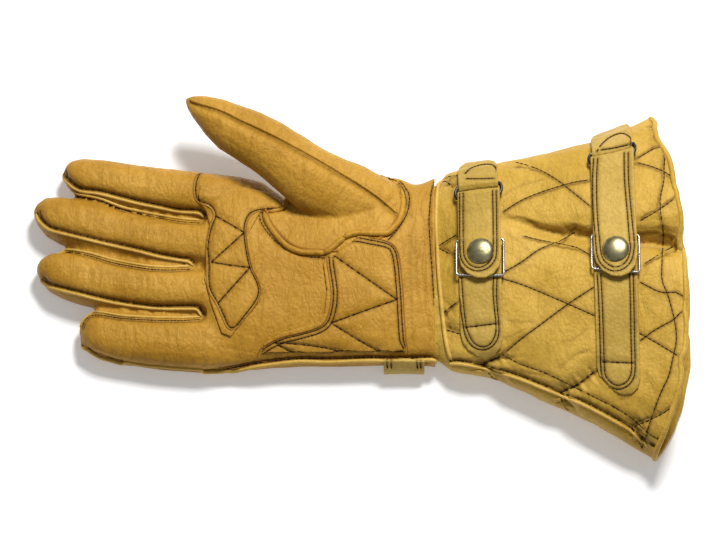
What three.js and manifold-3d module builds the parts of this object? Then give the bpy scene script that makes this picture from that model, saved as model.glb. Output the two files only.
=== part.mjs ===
// A leather gauntlet glove for the right hand, lying on its back with the palm up.
// X runs from the fingertips to the cuff's mouth, Y from the little finger to the thumb, Z up. Millimetres.
import * as THREE from "three";
import { mergeVertices } from "three/addons/utils/BufferGeometryUtils.js";
import Module from "manifold-3d";

// Leather and free space
const WALL = 2.0; // glove leather with its lining
const CUFF_WALL = 2.2; // quilted leather of the cuff
const GAP = 0.3; // free space where two pieces meet
const PATCH = 1.2; // reinforcement leather on the palm

// Hand body, from the wrist edge to the forks between the fingers
const HAND_LENGTH = 122;
const HAND_WIDTH = 106;
const HAND_HEIGHT = 25;
const SIDE_HEIGHT = 10; // height of the widest line of hand and fingers above the table
const WRIST_X = 39.8; // edge of the hand's leather, which laps over the cuff
const PRESS = 0.6; // how far the leather is pressed flat where it rests

// Fingers, each from its tip to the place where it runs into the palm
const FINGER_HEIGHT = 21.5;
const FINGER_ROOT = 15; // length of each finger's solid that is sunk into the palm
const SUNK = 0.88; // size of the sunk end beside the finger's root
const FULL_TIP = 0.93; // share of FINGER_HEIGHT at which the back of a fingertip lies on the table

// Thumb, from its root in the palm to its tip
const THUMB_LENGTH = 127.5;
const THUMB_WIDTH = 34;
const THUMB_HEIGHT = 25;
const THUMB_LIFT = 31; // height of the tip above the table
const THUMB_HEADING = 153.4; // degrees from +X towards +Y
const THUMB_ROOT = [20.7, 36.5]; // place of the root from the hand's own zero

// Cuff, from its end inside the hand's edge to its mouth
const LAP = 7; // length of cuff inside the hand's edge
const CUFF_LENGTH = 121.5; // along the side seams
const CUFF_WIDTH = 192;
const CUFF_HEIGHT = 43;
const MOUTH_BOW = 17; // how far the mouth's middle stands out beyond its side seams
const MOUTH_SLANT = 0.15; // how much less it stands out on the thumb's side
const BACK_LENGTH = 3; // how far the back panel reaches beyond the palm panel
const CREASE_DEPTH = 17; // deepest place of the long fold across the palm panel

// Straps and ring tabs
const STRAP_THICK = 1.8;
const WRIST_STRAP_WIDTH = 22.4;
const CUFF_STRAP_WIDTH = 22.8;
const LIFT = 0.5; // free space between the quilted leather and what lies on it
const TAB_WIDTH = 21;
const TAB_THICK = 1.4;
const TAB_UNDER_WIDTH = 19; // the tab's under layer is a little narrower
const TAB_END = 2.5; // place of the tab's rounded end, from the side seam
const TAB_TUCK = 10; // length of the tab's under layer
const SETTLE = 9; // length over which a folded layer comes down beside its bar
const RAMP = 5; // length of a step from one layer to the next

// One fastening: a tab sewn over the cuff's edge holds a ring, and a strap goes through the ring, comes
// back on itself over a slide and closes with a snap. at: share of CUFF_LENGTH from the cuff's start. The
// others are shares of CUFF_WIDTH. lean: how far the strap's end stands off sideways; ring: the ring's
// middle, from the side seam along the section; upper, lower, slide and snap count from the ring's bar
// and give both ends of the strap, the slide's middle and the snap.
const FASTENINGS = [
  {
    name: "wrist", at: 0.242, lean: 0.0078, width: WRIST_STRAP_WIDTH,
    ring: 0.1484, upper: 0.2292, lower: 0.4349, slide: 0.1693, snap: 0.1589,
  },
  {
    name: "cuff", at: 0.8247, lean: 0.0125, width: CUFF_STRAP_WIDTH,
    ring: 0.1563, upper: 0.3359, lower: 0.6432, slide: 0.2682, snap: 0.263,
  },
];

// Side loop at the little finger's side of the wrist, sewn down at both ends. at: share of LOOP_RUN
// from the palm-side end; stand: share of LOOP_STAND.
const LOOP_X = 22.8;
const LOOP_WIDTH = 21.5;
const LOOP_THICK = 2.0;
const LOOP_START = 160; // degrees round the section
const LOOP_RUN = 18;
const LOOP_STAND = 1.4;
const LOOP_PATH = [
  { at: 0, stand: 0 }, { at: 0.14, stand: 0 }, { at: 0.26, stand: 0.3 }, { at: 0.36, stand: 0.8 },
  { at: 0.46, stand: 1 }, { at: 0.56, stand: 0.9 }, { at: 0.68, stand: 0.5 }, { at: 0.82, stand: 0 },
  { at: 1, stand: 0 },
];

// Metal
const RING_WIRE = 2.0;
const RING_LENGTH = 26.4; // outside, along X
const RING_BREADTH = 8.8; // outside
const SLIDE_WIRE = 1.5;
const SLIDE_LENGTH = 26.4;
const SLIDE_BREADTH = 20;
const RING_CORNER = 2.6; // bend radius at the ring's corners
const SLIDE_CORNER = 1.2;
const CAP_RADIUS = 7.0;
const CAP_DOME = 2.6;
const CAP_RIM = 0.45; // height of the cap's edge, and its chamfer below

// Fineness of the facets
const FINGER_SIDES = 16;
const PALM_SIDES = 28;
const THUMB_SIDES = 20;
const WIRE_SIDES = 6;
const CAP_SIDES = 20;
const STATION_STEP = 11; // length of a straight stretch of strap between two stations

// Sections of the palm. at: share of HAND_LENGTH from the wrist edge, below 0 past it; centre, half:
// shares of HAND_WIDTH; top: share of HAND_HEIGHT. The dips before the edge are the wrist's folds.
const PALM_SECTIONS = [
  { at: 1.0, centre: 0.034, half: 0.515, top: 0.84 },
  { at: 0.96, centre: 0.034, half: 0.527, top: 0.91 },
  { at: 0.85, centre: 0.031, half: 0.511, top: 0.96 },
  { at: 0.757, centre: 0.02, half: 0.492, top: 0.97 },
  { at: 0.648, centre: -0.021, half: 0.442, top: 0.95 },
  { at: 0.461, centre: 0.002, half: 0.462, top: 0.99 },
  { at: 0.261, centre: 0.046, half: 0.502, top: 1.02 },
  { at: 0.157, centre: 0.04, half: 0.492, top: 1.0 },
  { at: 0.125, centre: 0.032, half: 0.484, top: 0.95 },
  { at: 0.095, centre: 0.024, half: 0.477, top: 0.97 },
  { at: 0.065, centre: 0.027, half: 0.481, top: 0.93 },
  { at: 0.026, centre: 0.035, half: 0.492, top: 0.96 },
  { at: 0.0, centre: 0.037, half: 0.503, top: 0.97 },
];

// Fingers. length: from tip to knuckle line; splay: how far the tip stands off towards the thumb, a share
// of the length; bend: how late it turns; knuckle: place on the knuckle line, a share of HAND_WIDTH.
const FINGERS = [
  {
    name: "index", length: 77, width: 26.8, knuckle: 0.433, splay: 0.163, bend: 1.2,
    sections: [
      { at: 0.0, half: 0.05, top: 0.58 }, { at: 0.025, half: 0.21, top: 0.74 },
      { at: 0.065, half: 0.32, top: 0.86 },
      { at: 0.14, half: 0.41, top: 0.95 }, { at: 0.3, half: 0.46, top: 0.98 },
      { at: 0.65, half: 0.483, top: 1.0 },
      { at: 1.0, half: 0.5, top: 1.04 },
    ],
  },
  {
    name: "middle", length: 92.4, width: 29.2, knuckle: 0.17, splay: 0.205, bend: 1.42,
    sections: [
      { at: 0.0, half: 0.05, top: 0.56 }, { at: 0.02, half: 0.2, top: 0.72 },
      { at: 0.075, half: 0.37, top: 0.88 },
      { at: 0.16, half: 0.455, top: 0.96 }, { at: 0.275, half: 0.49, top: 1.0 },
      { at: 0.39, half: 0.5, top: 1.0 },
      { at: 0.52, half: 0.455, top: 0.98 }, { at: 0.75, half: 0.45, top: 1.0 },
      { at: 1.0, half: 0.436, top: 1.05 },
    ],
  },
  {
    name: "ring", length: 90.3, width: 29.2, knuckle: -0.075, splay: 0.15, bend: 1.6,
    sections: [
      { at: 0.0, half: 0.05, top: 0.56 }, { at: 0.02, half: 0.2, top: 0.72 },
      { at: 0.08, half: 0.36, top: 0.87 },
      { at: 0.145, half: 0.43, top: 0.94 }, { at: 0.26, half: 0.49, top: 0.99 },
      { at: 0.375, half: 0.5, top: 1.0 },
      { at: 0.5, half: 0.47, top: 0.98 }, { at: 0.75, half: 0.455, top: 1.0 },
      { at: 1.0, half: 0.45, top: 1.05 },
    ],
  },
  {
    name: "little", length: 67.5, width: 29.2, knuckle: -0.348, splay: 0.115, bend: 1.7,
    sections: [
      { at: 0.0, half: 0.05, top: 0.56 }, { at: 0.03, half: 0.22, top: 0.72 },
      { at: 0.085, half: 0.36, top: 0.85 },
      { at: 0.165, half: 0.44, top: 0.94 }, { at: 0.32, half: 0.48, top: 0.97 },
      { at: 0.66, half: 0.495, top: 0.99 },
      { at: 1.0, half: 0.52, top: 1.02 },
    ],
  },
];

// Sections of the thumb. at: share of THUMB_LENGTH from the root; side, half: shares of THUMB_WIDTH;
// lift: share of THUMB_LIFT; height: half height, a share of THUMB_HEIGHT.
const THUMB_SECTIONS = [
  { at: 0.0, side: 0.0, half: 0.28, lift: 0.42, height: 0.28 },
  { at: 0.067, side: -0.03, half: 0.41, lift: 0.45, height: 0.4 },
  { at: 0.21, side: -0.14, half: 0.54, lift: 0.55, height: 0.45 },
  { at: 0.3, side: -0.2, half: 0.54, lift: 0.66, height: 0.46 },
  { at: 0.388, side: -0.226, half: 0.53, lift: 0.77, height: 0.47 },
  { at: 0.49, side: -0.16, half: 0.495, lift: 0.84, height: 0.475 },
  { at: 0.59, side: -0.1, half: 0.465, lift: 0.9, height: 0.46 },
  { at: 0.69, side: -0.085, half: 0.44, lift: 0.94, height: 0.44 },
  { at: 0.785, side: -0.08, half: 0.4, lift: 0.97, height: 0.41 },
  { at: 0.87, side: -0.05, half: 0.32, lift: 0.99, height: 0.34 },
  { at: 0.94, side: -0.015, half: 0.2, lift: 1.0, height: 0.24 },
  { at: 0.98, side: 0.0, half: 0.11, lift: 1.0, height: 0.14 },
  { at: 1.0, side: 0.0, half: 0.03, lift: 1.0, height: 0.05 },
];

// Sections of the cuff. at: share of the length from the end inside the hand; centre, half: shares of
// CUFF_WIDTH; top, side: shares of CUFF_HEIGHT; lap: 1 where the hand's leather lies under it; crease:
// share of CREASE_DEPTH; fold: place of the crease, a share of the half width.
const CUFF_SECTIONS = [
  { at: 0.0, centre: 0.0165, half: 0.25, top: 0.48, side: 0.235, lap: 1, crease: 0, fold: 0.42 },
  { at: 0.058, centre: 0.0185, half: 0.258, top: 0.5, side: 0.235, lap: 1, crease: 0, fold: 0.42 },
  { at: 0.08, centre: 0.019, half: 0.27, top: 0.56, side: 0.25, lap: 0.8, crease: 0, fold: 0.42 },
  { at: 0.12, centre: 0.0205, half: 0.292, top: 0.63, side: 0.265, lap: 0.3, crease: 0, fold: 0.42 },
  { at: 0.19, centre: 0.0215, half: 0.303, top: 0.67, side: 0.28, lap: 0, crease: 0, fold: 0.42 },
  { at: 0.27, centre: 0.019, half: 0.31, top: 0.7, side: 0.29, lap: 0, crease: 0, fold: 0.42 },
  { at: 0.36, centre: 0.014, half: 0.327, top: 0.74, side: 0.3, lap: 0, crease: 0.12, fold: 0.385 },
  { at: 0.45, centre: 0.006, half: 0.344, top: 0.78, side: 0.31, lap: 0, crease: 0.42, fold: 0.33 },
  { at: 0.54, centre: -0.001, half: 0.366, top: 0.82, side: 0.32, lap: 0, crease: 0.6, fold: 0.285 },
  { at: 0.64, centre: -0.009, half: 0.389, top: 0.87, side: 0.33, lap: 0, crease: 0.72, fold: 0.262 },
  { at: 0.74, centre: -0.018, half: 0.413, top: 0.91, side: 0.34, lap: 0, crease: 0.82, fold: 0.25 },
  { at: 0.83, centre: -0.025, half: 0.44, top: 0.95, side: 0.35, lap: 0, crease: 0.9, fold: 0.238 },
  { at: 0.92, centre: -0.031, half: 0.472, top: 0.98, side: 0.355, lap: 0, crease: 0.96, fold: 0.222 },
  { at: 1.0, centre: -0.035, half: 0.5, top: 1.0, side: 0.36, lap: 0, crease: 1, fold: 0.205 },
];
// Columns of the palm panel across its half width, closest together at the crease.
const PANEL_COLUMNS = [0.985, 0.93, 0.84, 0.73, 0.61, 0.5, 0.42, 0.37, 0.335, 0.3, 0.265, 0.23, 0.18, 0.09,
  -0.04, -0.19, -0.34, -0.49, -0.63, -0.76, -0.87, -0.95, -0.99];
const CREASE_COLUMN = 0.3;
// Depth of the crease beside its lowest line. off: share of the half width; depth: share.
const CREASE_PROFILE = [
  { at: -0.26, depth: 0 }, { at: -0.14, depth: 0.08 }, { at: -0.075, depth: 0.3 },
  { at: -0.035, depth: 0.66 },
  { at: 0, depth: 1 }, { at: 0.035, depth: 0.45 }, { at: 0.075, depth: 0.12 }, { at: 0.14, depth: 0 },
];
const CREASE_WALL = 1.3; // how much wider the same crease is inside the cuff
const BACK_COLUMNS = 11;

// Outlines on the palm. at: share of HAND_LENGTH from the wrist edge; across: share of HAND_WIDTH.
const THUMB_SEAM = [
  { at: 0.65, across: 0.375 }, { at: 0.66, across: 0.335 }, { at: 0.735, across: 0.315 },
  { at: 0.72, across: 0.235 }, { at: 0.675, across: 0.155 }, { at: 0.61, across: 0.1 },
  { at: 0.48, across: 0.088 },
  { at: 0.455, across: 0.125 }, { at: 0.36, across: 0.205 }, { at: 0.21, across: 0.185 },
  { at: 0.165, across: 0.27 }, { at: 0.148, across: 0.37 }, { at: 0.17, across: 0.47 },
  { at: 0.27, across: 0.6 },
  { at: 0.6, across: 0.7 },
];
const KNUCKLE_PATCH = [
  { at: 1.03, across: 0.46 }, { at: 1.035, across: 0.385 }, { at: 1.0, across: 0.325 },
  { at: 0.985, across: 0.25 },
  { at: 1.0, across: 0.13 }, { at: 1.005, across: -0.04 }, { at: 0.975, across: -0.17 },
  { at: 0.93, across: -0.315 },
  { at: 0.89, across: -0.335 }, { at: 0.855, across: -0.28 }, { at: 0.76, across: -0.15 },
  { at: 0.75, across: -0.09 },
  { at: 0.79, across: 0.01 }, { at: 0.81, across: 0.15 }, { at: 0.805, across: 0.22 },
  { at: 0.76, across: 0.325 },
  { at: 0.67, across: 0.345 }, { at: 0.68, across: 0.39 }, { at: 0.73, across: 0.43 },
  { at: 0.85, across: 0.46 },
];
const HEEL_PATCH = [
  { at: 0.48, across: 0.075 }, { at: 0.43, across: 0.15 }, { at: 0.365, across: 0.19 },
  { at: 0.195, across: 0.155 },
  { at: 0.158, across: 0.1 }, { at: 0.145, across: -0.05 }, { at: 0.135, across: -0.27 },
  { at: 0.13, across: -0.405 },
  { at: 0.76, across: -0.415 }, { at: 0.745, across: -0.365 }, { at: 0.67, across: -0.315 },
  { at: 0.52, across: -0.27 },
  { at: 0.485, across: -0.22 }, { at: 0.475, across: -0.1 }, { at: 0.49, across: 0.03 },
];

// Roundness of a section above and below its widest line; 2 is an ellipse, more is squarer
const TOP_ROUND = 2.4;
const BACK_ROUND = 3.4;

const wasm = await Module();
wasm.setup();

const solidOf = (geometry) => {
  const loose = geometry.index ? geometry.toNonIndexed() : geometry;
  const bare = new THREE.BufferGeometry();
  bare.setAttribute("position", loose.getAttribute("position"));
  const merged = mergeVertices(bare, 1e-3);
  return new wasm.Manifold(
    new wasm.Mesh({
      numProp: 3,
      vertProperties: merged.attributes.position.array,
      triVerts: new Uint32Array(merged.index.array),
    }),
  );
};

const geometryOf = (solid) => {
  const { numProp, numVert, vertProperties, triVerts } = solid.getMesh();
  const positions = new Float32Array(numVert * 3);
  for (let i = 0; i < numVert; i++)
    positions.set(vertProperties.subarray(i * numProp, i * numProp + 3), i * 3);
  const geometry = new THREE.BufferGeometry();
  geometry.setAttribute("position", new THREE.BufferAttribute(positions, 3));
  geometry.setIndex(new THREE.BufferAttribute(new Uint32Array(triVerts), 1));
  geometry.computeVertexNormals();
  return geometry;
};

const { lerp, clamp, degToRad } = THREE.MathUtils;
const signedPower = (value, power) => Math.sign(value) * Math.abs(value) ** power;
const join = (solids) => solids.reduce((whole, solid) => whole.add(solid));

// A closed body through rings of points, all counted the same way round; the ends are closed by fans
// unless the rings run round in a loop.
const loft = (rings, loop = false) => {
  const around = rings[0].length;
  const points = rings.flat();
  const faces = [];
  const spans = loop ? rings.length : rings.length - 1;
  for (let r = 0; r < spans; r++)
    for (let k = 0; k < around; k++) {
      const [a, b] = [r * around + k, r * around + ((k + 1) % around)];
      const next = ((r + 1) % rings.length) * around - r * around;
      faces.push([a, a + next, b], [b, a + next, b + next]);
    }
  if (!loop)
    for (const [start, last] of [[0, false], [(rings.length - 1) * around, true]]) {
      const centre = new THREE.Vector3();
      for (let k = 0; k < around; k++) centre.addScaledVector(points[start + k], 1 / around);
      const hub = points.push(centre) - 1;
      for (let k = 0; k < around; k++) {
        const [a, b] = [start + k, start + ((k + 1) % around)];
        faces.push(last ? [a, hub, b] : [b, hub, a]);
      }
    }
  const build = (list) => {
    const geometry = new THREE.BufferGeometry().setFromPoints(points);
    geometry.setIndex(list.flat());
    return solidOf(geometry);
  };
  const solid = build(faces);
  return solid.volume() > 0 ? solid : build(faces.map(([a, b, c]) => [a, c, b]));
};

const block = (low, high) => {
  const size = new THREE.Vector3().subVectors(high, low);
  const geometry = new THREE.BoxGeometry(size.x, size.y, size.z);
  const middle = new THREE.Vector3().addVectors(low, high).multiplyScalar(0.5);
  return solidOf(geometry.translate(middle.x, middle.y, middle.z));
};

// Everything above a level, wide enough for the whole glove
const REACH = 2 * (HAND_LENGTH + CUFF_LENGTH + FINGERS[1].length);
const above = (level) =>
  block(new THREE.Vector3(-REACH, -REACH, level), new THREE.Vector3(REACH, REACH, REACH));

// Linear reading of a table at a place of its first column.
const readTable = (table, place) => {
  let i = 0;
  while (i < table.length - 2 && (place - table[i + 1].at) * (table[i + 1].at - table[i].at) > 0) i++;
  const [from, to] = [table[i], table[i + 1]];
  const share = clamp((place - from.at) / (to.at - from.at), 0, 1);
  return Object.fromEntries(Object.keys(from).map((key) => [key, lerp(from[key], to[key], share)]));
};

// A point of a rounded section from its middle: angle 0 is the thumb side, a right angle the top.
const rounded = (angle, half, up, down) => {
  const [c, s] = [Math.cos(angle), Math.sin(angle)];
  const round = s >= 0 ? TOP_ROUND : BACK_ROUND;
  return [half * signedPower(c, 2 / round), (s >= 0 ? up : down) * signedPower(s, 2 / round)];
};

// Hand: palm and fingers. An inset makes the same form smaller all round, for the hollow.
const bodyPoint = (angle, { x, centre, half, top, swell = 1 }, inset) => {
  const down = (SIDE_HEIGHT + PRESS) * swell;
  const [y, z] = rounded(angle, half - inset, top - SIDE_HEIGHT - inset, down - inset);
  return new THREE.Vector3(x, centre + y, SIDE_HEIGHT + z);
};
const bodyRing = (section, sides, inset) =>
  Array.from({ length: sides }, (_, k) => bodyPoint((2 * Math.PI * (k + 0.5)) / sides, section, inset));

const KNUCKLE_X = WRIST_X - HAND_LENGTH;
const palmSection = (row) => ({
  x: WRIST_X - row.at * HAND_LENGTH,
  centre: row.centre * HAND_WIDTH,
  half: row.half * HAND_WIDTH,
  top: row.top * HAND_HEIGHT,
});
const palmLoft = (inset, overrun) => {
  const sections = PALM_SECTIONS.map(palmSection);
  sections[0].x += inset;
  sections.at(-1).x += overrun;
  return loft(sections.map((section) => bodyRing(section, PALM_SIDES, inset)));
};

const fingerLoft = ({ length, width, knuckle, splay, bend, sections }, inset, root) => {
  const rows = sections
    .filter((row) => row.half * width - inset > 1)
    .map((row) => ({
      x: KNUCKLE_X - (1 - row.at) * length,
      centre: knuckle * HAND_WIDTH + splay * length * (1 - row.at) ** bend,
      half: row.half * width,
      top: row.top * FINGER_HEIGHT,
      swell: clamp((row.top * FINGER_HEIGHT - SIDE_HEIGHT) / (FULL_TIP * FINGER_HEIGHT - SIDE_HEIGHT), 0, 1),
    }));
  const last = rows.at(-1);
  rows.push({ ...last, x: KNUCKLE_X + root, half: SUNK * last.half, top: SUNK * last.top });
  return loft(rows.map((section) => bodyRing(section, FINGER_SIDES, inset)));
};

const handBody = (inset, root, overrun) =>
  join([palmLoft(inset, overrun), ...FINGERS.map((finger) => fingerLoft(finger, inset, root))])
    .intersect(above(inset));

// Thumb
const thumbLoft = (inset) => {
  const heading = degToRad(THUMB_HEADING);
  const along = new THREE.Vector3(Math.cos(heading), Math.sin(heading), 0);
  const aside = new THREE.Vector3(Math.sin(heading), -Math.cos(heading), 0);
  const root = new THREE.Vector3(THUMB_ROOT[0], THUMB_ROOT[1], 0);
  const rings = THUMB_SECTIONS.filter((row) => row.half * THUMB_WIDTH > inset + 0.5).map((row) => {
    const middle = root
      .clone()
      .addScaledVector(along, row.at * THUMB_LENGTH)
      .addScaledVector(aside, row.side * THUMB_WIDTH);
    middle.z = row.lift * THUMB_LIFT;
    const [half, height] = [row.half * THUMB_WIDTH - inset, row.height * THUMB_HEIGHT - inset];
    return Array.from({ length: THUMB_SIDES }, (_, k) => {
      const angle = (2 * Math.PI * k) / THUMB_SIDES;
      const point = middle.clone().addScaledVector(aside, half * Math.cos(angle));
      point.z += height * Math.sin(angle);
      return point;
    });
  });
  return loft(rings);
};

// An upright prism over an outline on the palm, made larger all round by a margin.
const palmPrism = (outline, low, margin) => {
  const corners = outline.map(
    ({ at, across }) => new THREE.Vector2(WRIST_X - at * HAND_LENGTH, across * HAND_WIDTH),
  );
  const turn = Math.sign(THREE.ShapeUtils.area(corners));
  const moved = corners.map((corner, k) => {
    const before = corners.at(k - 1).clone().sub(corner).normalize();
    const after = corners[(k + 1) % corners.length].clone().sub(corner).normalize();
    const out = new THREE.Vector2(after.y - before.y, before.x - after.x).multiplyScalar(turn).normalize();
    return corner.clone().addScaledVector(out, margin);
  });
  const geometry = new THREE.ExtrudeGeometry(new THREE.Shape(moved), { depth: REACH, bevelEnabled: false });
  return solidOf(geometry.translate(0, 0, low));
};

// Cuff
const CUFF_X = WRIST_X - LAP;
const cuffLength = (c, back) =>
  CUFF_LENGTH + (MOUTH_BOW + back * BACK_LENGTH) * (1 - Math.abs(c) ** 3) * (1 - MOUTH_SLANT * c);
const cuffRow = (row) => ({
  centre: row.centre * CUFF_WIDTH,
  half: row.half * CUFF_WIDTH,
  top: row.top * CUFF_HEIGHT,
  side: row.side * CUFF_HEIGHT,
  floor: lerp(-PRESS, WALL + GAP, row.lap),
  crease: row.crease * CREASE_DEPTH,
  fold: row.fold,
});
const panelPlace = (column, fold) =>
  column > CREASE_COLUMN
    ? lerp(fold, 1, (column - CREASE_COLUMN) / (1 - CREASE_COLUMN))
    : lerp(-1, fold, (column + 1) / (CREASE_COLUMN + 1));

const cuffRing = (row, inset, shift) => {
  const { centre, half, top, side, floor, crease, fold } = cuffRow(row);
  const widen = inset > 0 ? CREASE_WALL : 1;
  const ring = [];
  const push = (c, z, back) => {
    const x = CUFF_X + row.at * cuffLength(c, back) + shift;
    ring.push(new THREE.Vector3(x, centre + (half - inset) * c, z));
  };
  push(1, side, 0);
  for (const column of PANEL_COLUMNS) {
    const c = panelPlace(column, fold);
    const rise = (1 - Math.abs(c) ** TOP_ROUND) ** (1 / TOP_ROUND);
    const dip = readTable(CREASE_PROFILE, (column - CREASE_COLUMN) / widen).depth;
    push(c, side + (top - side - inset) * rise - crease * dip, 0);
  }
  push(-1, side, 0);
  for (let k = 1; k <= BACK_COLUMNS; k++) {
    const [c, z] = rounded(Math.PI * (1 + k / (BACK_COLUMNS + 1)), 1, 0, side - floor - inset);
    push(c, side + z, 1);
  }
  return ring;
};
const cuffLoft = (inset, overrun) => {
  const rings = CUFF_SECTIONS.map((row) => cuffRing(row, inset, 0));
  if (overrun > 0) {
    rings.unshift(cuffRing(CUFF_SECTIONS[0], inset, -overrun));
    rings.push(cuffRing(CUFF_SECTIONS.at(-1), inset, overrun));
  }
  return loft(rings).intersect(above(inset));
};

// A place on the bridged surface of the cuff or the hand: x along the glove, an angle round the section
// and a distance off the leather.
const onCuff = (x, angle, off) => {
  const [c] = rounded(angle, 1, 0, 0);
  const back = Math.sin(angle) < 0 ? 1 : 0;
  const row = cuffRow(readTable(CUFF_SECTIONS, (x - CUFF_X) / cuffLength(c, back)));
  const [y, z] = rounded(angle, row.half + off, row.top - row.side + off, row.side - row.floor + off);
  return new THREE.Vector3(x, row.centre + y, row.side + z);
};
const onHand = (x, angle, off) =>
  bodyPoint(angle, palmSection(readTable(PALM_SECTIONS, (WRIST_X - x) / HAND_LENGTH)), -off);

// The same places by distance along the section, counted from an angle.
const runAlong = (surface, x, from, to) => {
  const steps = 240;
  const angles = [from];
  const runs = [0];
  for (let k = 1; k <= steps; k++) {
    const angle = lerp(from, to, k / steps);
    runs.push(runs.at(-1) + surface(x, angle, 0).distanceTo(surface(x, angles.at(-1), 0)));
    angles.push(angle);
  }
  return (run) => {
    const i = clamp(runs.findIndex((value) => value >= run), 1, steps);
    const last = runs[steps] < run ? steps : i;
    return lerp(angles[last - 1], angles[last], (run - runs[last - 1]) / (runs[last] - runs[last - 1]));
  };
};

// Half width of a strip at a distance from its rounded end.
const endWidth = (half, distance) =>
  distance >= half ? half : Math.sqrt(half ** 2 - (half - distance) ** 2);
// Distances that follow a rounded end well.
const endSteps = (half) => [12, 38, 64, 90].map((turn) => half * (1 - Math.cos(degToRad(turn))));

// A leather strip over a surface. Each station is a place of the strip's middle: run along the section,
// off the leather, half width. place turns (x, run, off) into a point, middleX gives x at a run.
const STRIP_COLUMNS = [-1, 0, 1];
const strip = (stations, thick, place, middleX) => {
  const rings = stations.map((station, i) => {
    const before = stations[Math.max(i - 1, 0)];
    const after = stations[Math.min(i + 1, stations.length - 1)];
    const tangent = new THREE.Vector2(after.run - before.run, after.off - before.off).normalize();
    const side = (sign) =>
      STRIP_COLUMNS.map((column) =>
        place(
          middleX(station.run) + column * station.half,
          station.run - (sign * tangent.y * thick) / 2,
          station.off + (sign * tangent.x * thick) / 2,
        ),
      );
    return [...side(1), ...side(-1).reverse()];
  });
  return loft(rings);
};

// Stations round a bar: run and off of its middle, the strip's middle line at a radius from it.
const roundBar = (run, off, radius, from, to, half) =>
  Array.from({ length: 6 }, (_, k) => {
    const angle = degToRad(lerp(from, to, k / 5));
    return { run: run + radius * Math.cos(angle), off: off + radius * Math.sin(angle), half };
  });

// A bent wire through points of (along, across) on a surface, closed in a loop.
const wireLoop = (length, breadth, wire, corner, place) => {
  const [l, b] = [(length - wire) / 2, (breadth - wire) / 2];
  const path = [];
  for (const [sx, sb, start] of [[1, 1, 0], [-1, 1, 90], [-1, -1, 180], [1, -1, 270]])
    for (let k = 0; k <= 2; k++) {
      const angle = degToRad(start + 45 * k);
      path.push(
        new THREE.Vector2(
          sx * (l - corner) + corner * Math.cos(angle),
          sb * (b - corner) + corner * Math.sin(angle),
        ),
      );
    }
  const rings = path.map((point, i) => {
    const ahead = path[(i + 1) % path.length].clone().sub(path.at(i - 1)).normalize();
    return Array.from({ length: WIRE_SIDES }, (_, k) => {
      const angle = (2 * Math.PI * (k + 0.5)) / WIRE_SIDES;
      const out = (wire / 2) * Math.cos(angle);
      return place(point.x + out * ahead.y, point.y - out * ahead.x, (wire / 2) * Math.sin(angle));
    });
  });
  return loft(rings, true);
};

// A domed snap cap whose foot lies in the plane of a place on the surface.
const snapCap = () => {
  const profile = [
    new THREE.Vector2(0, 0),
    new THREE.Vector2(CAP_RADIUS - CAP_RIM, 0),
    new THREE.Vector2(CAP_RADIUS, CAP_RIM),
  ];
  const steps = 5;
  for (let k = 1; k < steps; k++) {
    const turn = (Math.PI / 2) * (k / steps);
    const height = CAP_RIM + (CAP_DOME - CAP_RIM) * Math.sin(turn);
    profile.push(new THREE.Vector2(CAP_RADIUS * Math.cos(turn), height));
  }
  profile.push(new THREE.Vector2(0, CAP_DOME));
  return new THREE.LatheGeometry(profile, CAP_SIDES).rotateX(Math.PI / 2);
};

const BAR_SPACING = RING_BREADTH - RING_WIRE;
const STRAP_BEND = RING_WIRE / 2 + GAP + STRAP_THICK / 2;
const TAB_BEND = RING_WIRE / 2 + GAP + TAB_THICK / 2;
const STRAP_OFF = LIFT + STRAP_THICK / 2;
const TAB_OFF = LIFT + TAB_THICK / 2;
const RING_OFF = STRAP_OFF + STRAP_BEND;
const TAB_OVER = TAB_OFF + TAB_THICK + GAP;
const SLIDE_OFF = STRAP_OFF + STRAP_THICK / 2 + GAP + SLIDE_WIRE / 2;
const LAID_OFF = STRAP_OFF + STRAP_THICK + GAP;
const RAISED_OFF = SLIDE_OFF + SLIDE_WIRE / 2 + GAP + STRAP_THICK / 2;

const readOff = (steps, distance) => readTable(steps.map(([at, off]) => ({ at, off })), distance).off;
const spread = (from, to, count) =>
  Array.from({ length: count }, (_, k) => lerp(from, to, (k + 1) / (count + 1)));

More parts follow.
